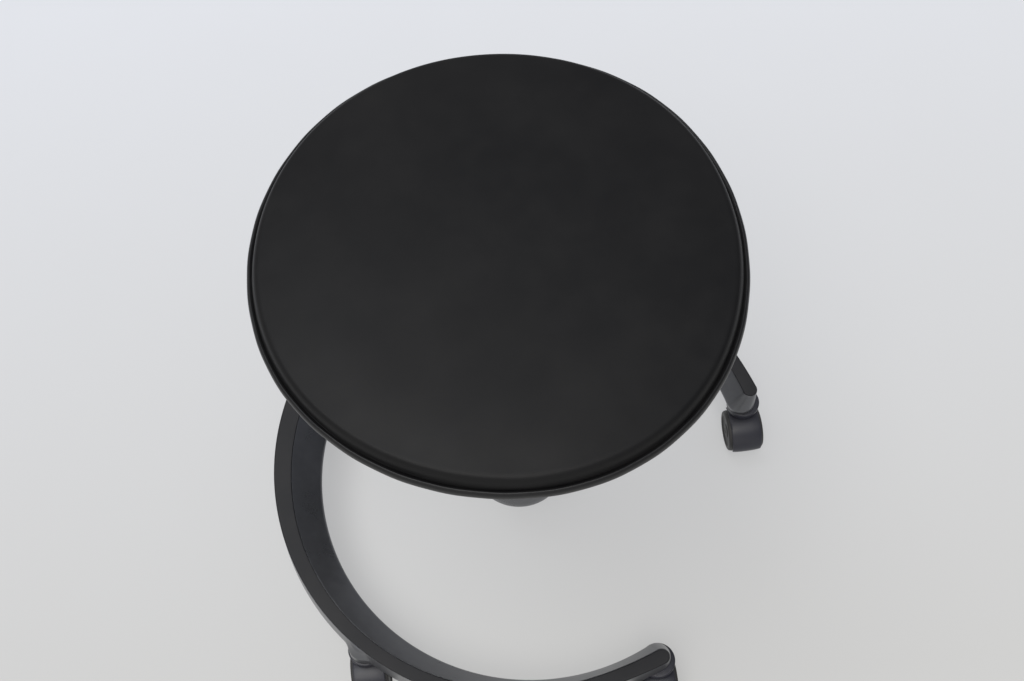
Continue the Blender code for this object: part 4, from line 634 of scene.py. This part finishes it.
def springTube():
    # wire middle: a helix whose rise is close at both ends and open between; a ring of points is set square to it
    count, dead, low, high = strut["turns"], strut["dead"], strut["wireLow"], strut["wireHigh"]
    turns = np.linspace(0.0, count, int(count * 56) + 1)
    rise = dead * strut["deadPitch"]
    z = np.interp(turns, [0.0, dead, count - dead, count], [low, low + rise, high - rise, high])
    angle = 2 * np.pi * turns
    out = np.stack([np.cos(angle), np.sin(angle), np.zeros_like(angle)], -1)
    middle = strut["spring"] * out + z[:, None] * np.array([0.0, 0.0, 1.0])
    ahead = np.gradient(middle, axis=0)
    lift = np.cross(ahead / np.linalg.norm(ahead, axis=1, keepdims=True), out)
    around = fullTurn(16)[:, None]
    wire = np.cos(around) * out[:, None] + np.sin(around) * lift[:, None]
    return gridPatch(middle[:, None] + strut["wire"] * wire, closeCols=True, caps=True)


def ballArc(radius, start, end, count):
    # points of (radius, height) on a circle about the ball's centre, from one angle to another
    lean = np.radians(np.linspace(start, end, count))
    return [*zip(radius * np.cos(lean), strut["ballZ"] + radius * np.sin(lean))]


def buildStrut():
    # the spring's helix, the fluted hand ring and outlines turned round Z, from the ball upwards
    spring = addPiece("coilSpring", [springTube()], blackCoat, "strut", "spring")
    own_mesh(spring)
    addLathed("pivotFoot", groundSteel, "strut", "pivot_foot",
              [(0.0, 0.081), (0.0147, 0.081), *ballArc(strut["ball"], -50.0, 65.0, 24), (0.01, 0.1225), (0.01, 0.127),
               (0.014, 0.132), (0.03, 0.135), (0.03, 0.14), (0.0212, 0.14), (0.0212, 0.146), (0.0, 0.146)],
              [0.0, 0.6, *[1.0] * 24, 2.0, 3.0, 3.0, 1.2, 1.0, 0.4, 1.0, 0.0], closed=False)
    addLathed("jointRing", zincPlate, "base", "joint_ring",
              [(0.0417, 0.1103), (0.0417, 0.122), (0.0195, 0.122), *ballArc(strut["cup"], 48.5, 25.5, 9),
               (0.033, 0.1103)],
              [0.4, 1.0, 1.2, *[0.3] * 9, 0.4], 4)
    addLathed("guideTube", blackCoat, "strut", "guide_tube",
              tubeOutline(0.0215, 0.026, 0.1403, 0.29), 0.7)
    addLathed("guideSleeve", whiteAcetal, "strut", "guide_sleeve",
              [(0.0203, 0.2223), (0.0212, 0.2223), (0.0212, 0.2903), (0.026, 0.2903), (0.026, 0.293), (0.0203, 0.293)],
              [0.2, 0.2, 0.2, 0.4, 1.0, 0.6])
    collar = tubeOutline(strut["collarBore"], strut["collarRadius"], strut["collarFoot"], strut["collarTop"])
    collar = softCorners(collar, [0.5, 3.0, 3.0, 0.5], 6)
    turn = fullTurn(strut["collarSides"])
    wave = strut["flute"] * np.cos(strut["flutes"] * turn) * (collar[:, :1] > 0.03)  # the bore stays round
    collar = turned(collar, strut["collarSides"], closed=True, swell=wave)
    addPiece("tensionCollar", [collar], gripNylon, "tension", "tension_collar")
    addLathed("lowerSpringCup", zincPlate, "strut", "lower_spring_cup",
              [(0.0263, 0.1663), (0.049, 0.1663), (0.049, 0.1758), (0.0475, 0.1758), (0.0475, 0.1683), (0.03, 0.1683),
               (0.03, 0.1758), (0.0263, 0.1758)], [0.4, 2.0, 0.6, 0.6, 1.6, 1.4, 1.0, 0.6], 4)
    addLathed("upperSpringCup", zincPlate, "column", "upper_spring_cup",
              [(0.0203, 0.345), (0.0475, 0.345), (0.0475, 0.3375), (0.049, 0.3375), (0.049, 0.347), (0.0265, 0.347),
               (0.0265, 0.352), (0.0203, 0.352)], [0.3, 1.6, 0.6, 0.6, 2.0, 1.6, 1.0, 0.5], 4)
    addLathed("springCirclip", groundSteel, "column", "spring_circlip",
              tubeOutline(0.0203, 0.024, 0.3523, 0.355), 0.5)
    addLathed("columnTube", groundSteel, "column", "column_tube",
              [(0.0053, 0.205), (0.02, 0.205), (0.02, 0.38), (0.0165, 0.38), (0.0165, 0.213), (0.0053, 0.213)],
              [0.3, 1.0, 0.8, 0.4, 0.4, 0.3])
    addLathed("cylinderBush", whiteAcetal, "column", "cylinder_bush",
              [(0.0143, 0.36), (0.0162, 0.36), (0.0162, 0.3803), (0.02, 0.3803), (0.02, 0.383), (0.0143, 0.383)],
              [0.3, 0.3, 0.2, 0.4, 1.0, 0.8])
    addLathed("gasCylinder", blackCoat, "seat", "gas_cylinder",
              [(0.0115, 0.31), (0.014, 0.31), (0.014, 0.465), (0.0132, 0.508), (0.0043, 0.508), (0.0043, 0.475),
               (0.0115, 0.475)], [0.3, 1.0, 4.0, 1.2, 0.4, 0.3, 0.3])


buildStrut()
print("strut made")


# bracket, screws and lever under the seat

mount = dict(floor=0.5, top=0.529, sheet=0.003, halfLength=0.072, halfFloor=0.0335, draft=0.005, halfWidth=0.075,
             socket=0.022, screws=((0.055, 0.057), (-0.055, 0.057), (-0.055, -0.057), (0.055, -0.057)))
lever = dict(pivotX=0.025, pivotZ=0.5165, bar=0.002, half=0.006, bossHalf=0.0043, tip=-0.008, bend=0.079, drop=0.1,
             fall=0.0135, end=0.16, gripStart=0.122, gripEnd=0.178, gripHalf=0.018, gripTall=0.0055, gripPower=0.72)


def gripSkin():
    # paddle of superellipse sections: the width opens from the neck and closes in a half round, the height closes too
    body = np.linspace(0.05, 0.86, 30)
    s = np.concatenate([[0.0, 0.006, 0.02], body, 0.86 + 0.14 * np.sin(np.linspace(0.05, np.pi / 2, 14))])
    around = fullTurn(56)
    open01 = np.clip(s / 0.55, 0.0, 1.0)
    opened = 0.7 + 0.3 * open01**2 * (3 - 2 * open01)
    nose = np.sqrt(np.maximum(1.0 - np.clip((s - 0.68) / 0.32, 0.0, 1.0) ** 2, 0.0))
    start = np.interp(s, [0.0, 0.006, 0.02, 0.05], [0.8, 0.91, 0.975, 1.0])
    wide = lever["gripHalf"] * opened * nose * start
    tall = lever["gripTall"] * (0.72 + 0.28 * nose) * start * np.where(s < 1.0, 1.0, 0.0)
    c, q = np.cos(around), np.sin(around)
    y = wide[:, None] * np.sign(c) * np.abs(c) ** lever["gripPower"]
    z = tall[:, None] * np.sign(q) * np.abs(q) ** lever["gripPower"]
    x = np.broadcast_to((lever["gripStart"] + s * (lever["gripEnd"] - lever["gripStart"]))[:, None], y.shape)
    return gridPatch(np.stack([x, y, z + lever["pivotZ"] - lever["fall"]], -1), closeCols=True, caps=True)


def leverArm():
    # a bar with a boss round its pin and a step down to the grip: the same line pushed down and up by half its height
    pin, knob, bar = lever["pivotX"], lever["bossHalf"], lever["bar"]
    x = np.array([lever["tip"], pin - 1.6 * knob, pin - 0.9 * knob, pin + 0.9 * knob, pin + 1.6 * knob, lever["bend"],
                  lever["drop"], lever["end"]])
    z = lever["pivotZ"] - lever["fall"] * (x >= lever["drop"])
    tall = np.array([bar, bar, knob, knob, bar, bar, bar, bar])
    lean = 0.5 * bar * np.isin(x, (lever["bend"], lever["drop"]))
    line = np.concatenate([np.stack([x - lean, z - tall], -1), np.stack([x + lean, z + tall], -1)[::-1]])
    reach = [1.5, 2.0, 2.0, 2.0, 2.0, 4.0, 4.0, 0.8]
    return extruded(softCorners(line, reach + reach[::-1], 4), lever["half"], 0.0005)


def buildMount():
    # hat channel with a turned taper socket, four screws, lever and grip
    wide, low, sheet, floor, top = mount["halfWidth"], mount["halfFloor"], mount["sheet"], mount["floor"], mount["top"]
    high, under, skin = low + mount["draft"], top - sheet, 0.8 * sheet
    right = [(low, floor), (high, under), (wide, under), (wide, top), (high - skin, top), (low - skin, floor + sheet)]
    reach = [5.5, 3.0, 0.8, 0.8, 5.5, 3.0]
    hat = np.roll(right + [(-y, z) for y, z in right[::-1]], 3, 0)
    hat = softCorners(hat, np.roll(reach + reach[::-1], 3), 5)
    channel = extruded(hat, mount["halfLength"], 0.0006, (2, 0, 1))
    socket = [(0.0143, 0.465), (mount["socket"], 0.465), (mount["socket"], 0.4965), (0.0275, 0.5005), (0.0275, 0.5025),
              (0.0136, 0.5025)]
    socket = lathed(socket, [0.8, 2.0, 4.0, 1.0, 0.4, 0.4], 5, closed=True)
    addPiece("seatBracket", [channel, socket], blackCoat, "seat", "seat_bracket")
    head = under - 0.0003
    screw = [(0.0, head - 0.0016), (0.0018, head - 0.0016), (0.0022, head - 0.0032), (0.0034, head - 0.0032),
             (0.0048, head - 0.0014), (0.0048, head), (0.0025, head), (0.0025, 0.535), (0.0, 0.535)]
    screw = lathed(screw, [0.0, 0.3, 0.3, 1.0, 1.2, 0.3, 0.2, 0.4, 0.0], 4, 40)
    for index, (x, y) in enumerate(mount["screws"], 1):
        patches = [moved(screw, shift=(x, y, 0.0))]
        addPiece(f"seatScrew{index}", patches, zincPlate, "seat", f"seat_screw_{index}")
    addPiece("releaseLever", [leverArm()], zincPlate, "lever", "lever")
    addPiece("leverGrip", [gripSkin()], gripNylon, "lever", "lever_grip")


buildMount()
print("bracket and lever made")


# seat: moulded pan, padded top with a tight shoulder, sewn border roll

seat = dict(crown=0.583, dip=0.0085, domePower=2.6, seam=0.5612, seamRadius=0.1956, shoulder=0.0058, shoulderPower=0.92,
            panRadius=0.18, panFlat=0.05, panZ=0.5293, panRise=0.0187, panWall=0.004, ribStart=0.09, ribEnd=0.172,
            grid=111, sink=0.0015, cap=0.0015, fine=0.1, frames=20, deepRadius=0.183, deepRun=0.01, deep=0.006,
            draw=0.0012, sway=((1, 0.0027, -80.0), (2, 0.0024, -37.0), (3, 0.0013, -60.0), (4, 0.001, 35.5)))
coverCloth = dict(quality=6, mass=0.25, tension_stiffness=30.0, compression_stiffness=30.0, shear_stiffness=12.0,
                  bending_stiffness=2.0, use_pressure=True, uniform_pressure_force=4.0)


def seatSway(angle):
    # the outline's slow waves: a few cosines round the seat, each with its waves per turn, push and first crest
    waves = [push * np.cos(count * (angle - math.radians(crest))) for count, push, crest in seat["sway"]]
    return np.sum(waves, 0) - seat["draw"]


def panUnder(r):
    # flat in the middle, then a straight rise to the rim
    return seat["panZ"] + seat["panRise"] * np.maximum(0.0, r - seat["panFlat"]) / (seat["panRadius"] - seat["panFlat"])


def buildPan():
    # a turned dish with eight ribs and four screw bosses under it
    r, wall, flat, low = seat["panRadius"], seat["panWall"], seat["panFlat"], seat["panZ"]
    rim = float(panUnder(r))
    profile = [(0.0, low), (flat, low), (r, rim), (r, rim + wall), (flat, low + wall), (0.0, low + wall)]
    patches = [lathed(profile, [0.0, 12.0, 1.4, 1.0, 10.0, 0.0], 5, 144)]
    a, b = seat["ribStart"], seat["ribEnd"]
    za, zb = float(panUnder(a)), float(panUnder(b))
    rib = [(a, za - 0.005), (b, zb - 0.0032), (b, zb + 0.002), (a, za + 0.002)]
    rib = extruded(softCorners(rib, [3.0, 2.0, 0.2, 0.2], 4), 0.0015, 0.0005)
    patches += [moved(rib, math.radians(22.5 + 45.0 * k)) for k in range(8)]
    knob = lathed([(0.0, low), (0.007, low), (0.007, 0.5345), (0.0, 0.5345)], [0.0, 0.6, 0.2, 0.0], sides=40)
    patches += [moved(knob, shift=(x, y, 0.0)) for x, y in mount["screws"]]
    addPiece("seatPan", patches, panPlastic, "seat", "seat_shell")


def coverProfile():
    # from the middle outwards: a low dome by a power of the radius, then a tight superellipse down to the seam
    edge, power = seat["seamRadius"] - seat["shoulder"], seat["shoulderPower"]
    top, lean = np.linspace(0.0, edge, 90), np.linspace(0.0, np.pi / 2, 60)[1:]
    r = np.concatenate([top, edge + seat["shoulder"] * np.sin(lean) ** power])
    z = seat["crown"] - seat["dip"] * (r / edge) ** seat["domePower"]
    fall = (z[-1] - seat["seam"]) * (1.0 - np.maximum(np.cos(lean), 0.0) ** power)
    return r, z - np.concatenate([np.zeros_like(top), fall])


def coverGrid(sink):
    # a square sheet drawn to a disc, then laid along the profile by its length, lower where the filling will lift it
    u, v = np.meshgrid(np.linspace(-1, 1, seat["grid"]), np.linspace(-1, 1, seat["grid"]), indexing="ij")
    x, y = u * np.sqrt(1 - 0.5 * v**2), v * np.sqrt(1 - 0.5 * u**2)
    share, angle = np.minimum(np.hypot(x, y), 1.0), np.arctan2(y, x)
    share = 1.0 - (1.0 - share) ** 1.25
    r, z = coverProfile()
    length = np.concatenate([[0.0], np.cumsum(np.hypot(np.diff(r), np.diff(z)))])
    radius = np.interp(share * length[-1], length, r)
    height = np.interp(share * length[-1], length, z) - sink * (1.0 - share**8)
    outward = np.clip((radius / seat["seamRadius"] - 0.6) / 0.4, 0.0, 1.0)
    radius = radius + seatSway(angle) * outward
    return np.stack([radius * np.cos(angle), radius * np.sin(angle), height], -1)


def evened(way, rounds=40):
    # each point's move drawn again and again to the mean of its four neighbours' moves, fading to none at the seam
    way = way.reshape(seat["grid"], seat["grid"], 3)
    place = np.minimum(np.arange(seat["grid"]), np.arange(seat["grid"])[::-1])
    held = np.clip(np.minimum(place[:, None], place) / 3.0, 0.0, 1.0)[..., None]
    for turn in range(rounds):
        wide = np.pad(way, ((1, 1), (1, 1), (0, 0)), mode="edge")
        way = 0.25 * (wide[:-2, 1:-1] + wide[2:, 1:-1] + wide[1:-1, :-2] + wide[1:-1, 2:])
    return (way * held).reshape(-1, 3)


def puffed(piece, pinned):
    # cloth held along the seam and blown up from below; the broad swell is kept, with a small share of the puckers
    before = meshPoints(piece).copy()
    group = piece.vertex_groups.new(name="heldAtSeam")
    group.add([int(k) for k in np.flatnonzero(pinned)], 1.0, "REPLACE")
    cloth = piece.modifiers.new("cover", "CLOTH")
    for name, value in coverCloth.items():
        setattr(cloth.settings, name, value)
    cloth.settings.vertex_group_mass = group.name
    cloth.settings.effector_weights.gravity = 0.0
    cloth.point_cache.frame_start, cloth.point_cache.frame_end = 1, seat["frames"]
    for step in range(seat["frames"]):
        scene.frame_set(step + 1)
    result = piece.evaluated_get(bpy.context.evaluated_depsgraph_get())
    after = np.empty(len(before) * 3, np.float32)
    result.data.vertices.foreach_get("co", after)
    piece.modifiers.remove(cloth)
    scene.frame_set(1)
    way = after.reshape(-1, 3) - before
    length = np.linalg.norm(way, axis=1, keepdims=True)
    way *= np.minimum(1.0, seat["cap"] / np.maximum(length, 1e-9))
    way = (1.0 - seat["fine"]) * evened(way) + seat["fine"] * way
    print("cover lifted by", round(float(np.linalg.norm(way, axis=1).mean()) * 1000, 2), "mm on average")
    piece.data.vertices.foreach_set("co", (before + way).astype(np.float32).ravel())
    piece.data.update()


def markSeam(piece, near):
    # what the leather's puckers read: how near the seam a point lies, and its place round the seat in turns
    spots = meshPoints(piece)
    markPoints(piece, "nearSeam", np.clip(near(spots), 0.0, 1.0))
    markPoints(piece, "around", np.arctan2(spots[:, 1], spots[:, 0]) / (2 * np.pi))


def buildCushion():
    # the blown up sheet, and the same sheet laid flat under it with a smooth step down into the pan
    points = coverGrid(seat["sink"])
    cover = makePiece("seatCover", [gridPatch(points)], blackLeather)
    puffed(cover, np.abs(meshPoints(cover)[:, 2] - seat["seam"]) < 1e-5)
    top = meshPoints(cover).reshape(points.shape).astype(float)
    floor = points.copy()
    deep = np.clip((seat["deepRadius"] - np.hypot(points[..., 0], points[..., 1])) / seat["deepRun"], 0.0, 1.0)
    floor[..., 2] = seat["seam"] - seat["deep"] * deep**2 * (3.0 - 2.0 * deep)
    cushion = makePiece("seatCushion", [gridPatch(top), gridPatch(floor)], blackLeather, 70.0)
    old = cover.data
    bpy.data.objects.remove(cover)
    bpy.data.meshes.remove(old)
    markSeam(cushion, lambda spots: (np.hypot(spots[:, 0], spots[:, 1]) - 0.17) / 0.025)
    smooth = cushion.modifiers.new("smooth", "SUBSURF")
    smooth.levels = smooth.render_levels = 1
    fitPiece(cushion, "seat", "seat_cushion")


def buildBorder():
    # roll below the seam: outline turned in under the seam, round belly, flat foot under the pan's rim
    loop = [(0.1842, 0.5604), (0.1951, 0.5604), (0.1964, 0.5613), (0.1982, 0.5622), (0.2, 0.5602), (0.2007, 0.556),
            (0.1996, 0.5512), (0.195, 0.5482), (0.1842, 0.548)]
    inner = loop[0][0]
    loop = softCorners(loop, [0.4, 1.0, 1.0, 1.3, 2.0, 2.0, 3.0, 4.0, 0.4], 4)
    turn = fullTurn(288)
    outward = np.clip((loop[:, :1] - inner) / 0.01, 0.0, 1.0)
    waves = 0.00015 * np.sin(9 * turn + 0.7) + 0.0001 * np.sin(31 * turn + 1.9)
    roll = turned(loop, 288, closed=True, swell=outward * (seatSway(turn) + waves))
    border = makePiece("seatBorder", [roll], borderLeather, 70.0)
    markSeam(border, lambda spots: (spots[:, 2] - 0.556) / 0.005)
    fitPiece(border, "seat", "seat_border")


buildPan()
buildCushion()
buildBorder()
print("seat made")


# inner pieces keep their own mesh and get a finish

innerFinishes = dict(joint_liner=linerRubber, column_ring=whiteAcetal, cylinder_gland=turnedBronze)
steelNodes = ["thrust_bearing", "piston_rod", "rod_clip", "release_button", "lever_pin"]
steelNodes += [f"castor_{index}_{part}" for index in range(1, 6) for part in ("stem", "axle")]
innerFinishes.update(dict.fromkeys(steelNodes, groundSteel))
for name, finish in innerFinishes.items():
    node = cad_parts[name]
    node.data.materials.clear()
    node.data.materials.append(finish)


# floor, light and camera

# front and back are floor colours with painted shade and light in them: shaded and warm in front, lit and cool at the
# back
room = dict(size=14.0, front=(0.622, 0.62, 0.61), back=(0.745, 0.762, 0.802), frontY=-0.25, backY=0.75, evenness=0.58,
            cloud=2.0, cloudShare=0.05, cloudTone=(0.6, 0.59, 0.57), rough=(0.55, 0.65), gloss=0.2)
sky = dict(zenith=(0.56, 0.585, 0.66), low=(0.78, 0.77, 0.76), front=(1.5, 1.48, 1.43), right=(0.15, 0.15, 0.15),
           seen=(0.9, 0.91, 0.93), strength=0.78)
view = dict(spot=(0.0035, -0.5064, 1.5047), elevation=65.4362, roll=-5.6619, yaw=0.2009, sensor=36.0,
            focalPixels=1349.5, widePixels=1024.0)


def buildFloor():
    # a flat sheet far wider than the view, darker and warmer towards the front and paler and cooler towards the back by
    # painted shade and light, its shade softened where it is seen
    axis = np.linspace(-room["size"], room["size"], 9)
    x, y = np.meshgrid(axis, axis, indexing="ij")
    made, tree, shader = newFinish("paleFloor")
    place = objectPlace(tree)
    depth = addNode(tree, "ShaderNodeSeparateXYZ", [(0, place)]).outputs["Y"]
    # painted shade and light: the floor's colour runs from shaded and warm at the front to lit and cool at the back
    colour = tones(tree, spread(tree, depth, room["frontY"], room["backY"]), room["front"], room["back"])
    cloud = placed(tree, mottle, Scale=room["cloud"]).outputs["Value"]
    colour = tones(tree, times(tree, cloud, room["cloudShare"]), colour, room["cloudTone"])
    feed(tree, shader.inputs["Base Color"], colour)
    feed(tree, shader.inputs["Roughness"], spread(tree, cloud, 0.0, 1.0, *room["rough"]))
    feed(tree, shader.inputs["Specular IOR Level"], room["gloss"])
    ray = tree.nodes.new("ShaderNodeLightPath").outputs
    seen = calc(tree, "MAXIMUM", ray["Is Glossy Ray"], ray["Is Transmission Ray"])
    seen = calc(tree, "MAXIMUM", ray["Is Camera Ray"], seen)
    even = addNode(tree, "ShaderNodeEmission", [("Color", colour)], Strength=1.0)
    both = addNode(tree, "ShaderNodeMixShader", [(0, times(tree, seen, room["evenness"])),
                   (1, shader.outputs[0]), (2, even.outputs[0])])
    tree.links.new(both.outputs[0], tree.nodes["Material Output"].inputs["Surface"])
    points, faces = gridPatch(np.stack([x, y, np.zeros_like(x)], -1))
    mesh = bpy.data.meshes.new("floor")
    mesh.from_pydata(points.tolist(), [], [face[::-1] for face in faces])
    mesh.materials.append(made)
    floor = addObject("floor", mesh)


def standing(side, up, back, spot):
    # the matrix of something that stands at spot with these three axes
    return Matrix([*np.stack([side, up, back, np.asarray(spot, float)], -1).tolist(), (0.0, 0.0, 0.0, 1.0)])


def softSun(name, way, spreadAngle, power, colour):
    # a very large far lamp: parallel light from `way` with a wide soft edge
    lamp = bpy.data.lights.new(name, "SUN")
    lamp.energy, lamp.angle, lamp.color = power, math.radians(spreadAngle), colour
    holder = addObject(name, lamp)
    back = np.array(way, float) / np.linalg.norm(way)
    side = np.cross((0.0, 1.0, 0.0), back)
    side /= np.linalg.norm(side)
    holder.matrix_world = standing(side, np.cross(back, side), back, back * 4.0)


def buildLight():
    # world by direction: a tone at the zenith, and round the horizon one that is brighter in front and dim on the right
    world = bpy.data.worlds.new("room")
    scene.world = world
    world.use_nodes = True
    tree = world.node_tree
    place = tree.nodes.new("ShaderNodeTexCoord").outputs["Generated"]
    way = addNode(tree, "ShaderNodeSeparateXYZ", [(0, place)]).outputs
    light = tones(tree, spread(tree, way["Y"], -0.2, -0.9), sky["low"], sky["front"])
    light = tones(tree, spread(tree, way["X"], 0.1, 0.9), light, sky["right"])
    light = tones(tree, spread(tree, way["Z"], 0.0, 0.9), light, sky["zenith"])
    ray = tree.nodes.new("ShaderNodeLightPath").outputs
    shader = tree.nodes["Background"]
    tree.links.new(tones(tree, ray["Is Camera Ray"], light, sky["seen"]), shader.inputs["Color"])
    shader.inputs["Strength"].default_value = sky["strength"]
    softSun("overShoulder", (-0.16, -0.3, 1.0), 40.0, 1.45, (1.0, 0.975, 0.92))
    softSun("leftWindow", (-0.3, 0.2, 0.93), 26.0, 0.55, (0.97, 0.99, 1.0))


def buildCamera():
    # fitted to the photo: turned by yaw, tipped down by elevation, then rolled about its own axis
    elevation, roll, yaw = (math.radians(view[key]) for key in ("elevation", "roll", "yaw"))
    ahead = np.array([math.sin(yaw) * math.cos(elevation), math.cos(yaw) * math.cos(elevation), -math.sin(elevation)])
    right = np.array([math.cos(yaw), -math.sin(yaw), 0.0])
    up = np.cross(right, ahead)
    right, up = right * math.cos(roll) + up * math.sin(roll), -right * math.sin(roll) + up * math.cos(roll)
    lens = bpy.data.cameras.new("camera")
    lens.sensor_width, lens.lens = view["sensor"], view["focalPixels"] * view["sensor"] / view["widePixels"]
    lens.clip_start = 0.02
    holder = addObject("camera", lens)
    holder.matrix_world = standing(right, up, -ahead, view["spot"])
    scene.camera = holder


buildFloor()
buildLight()
buildCamera()
print("room made")
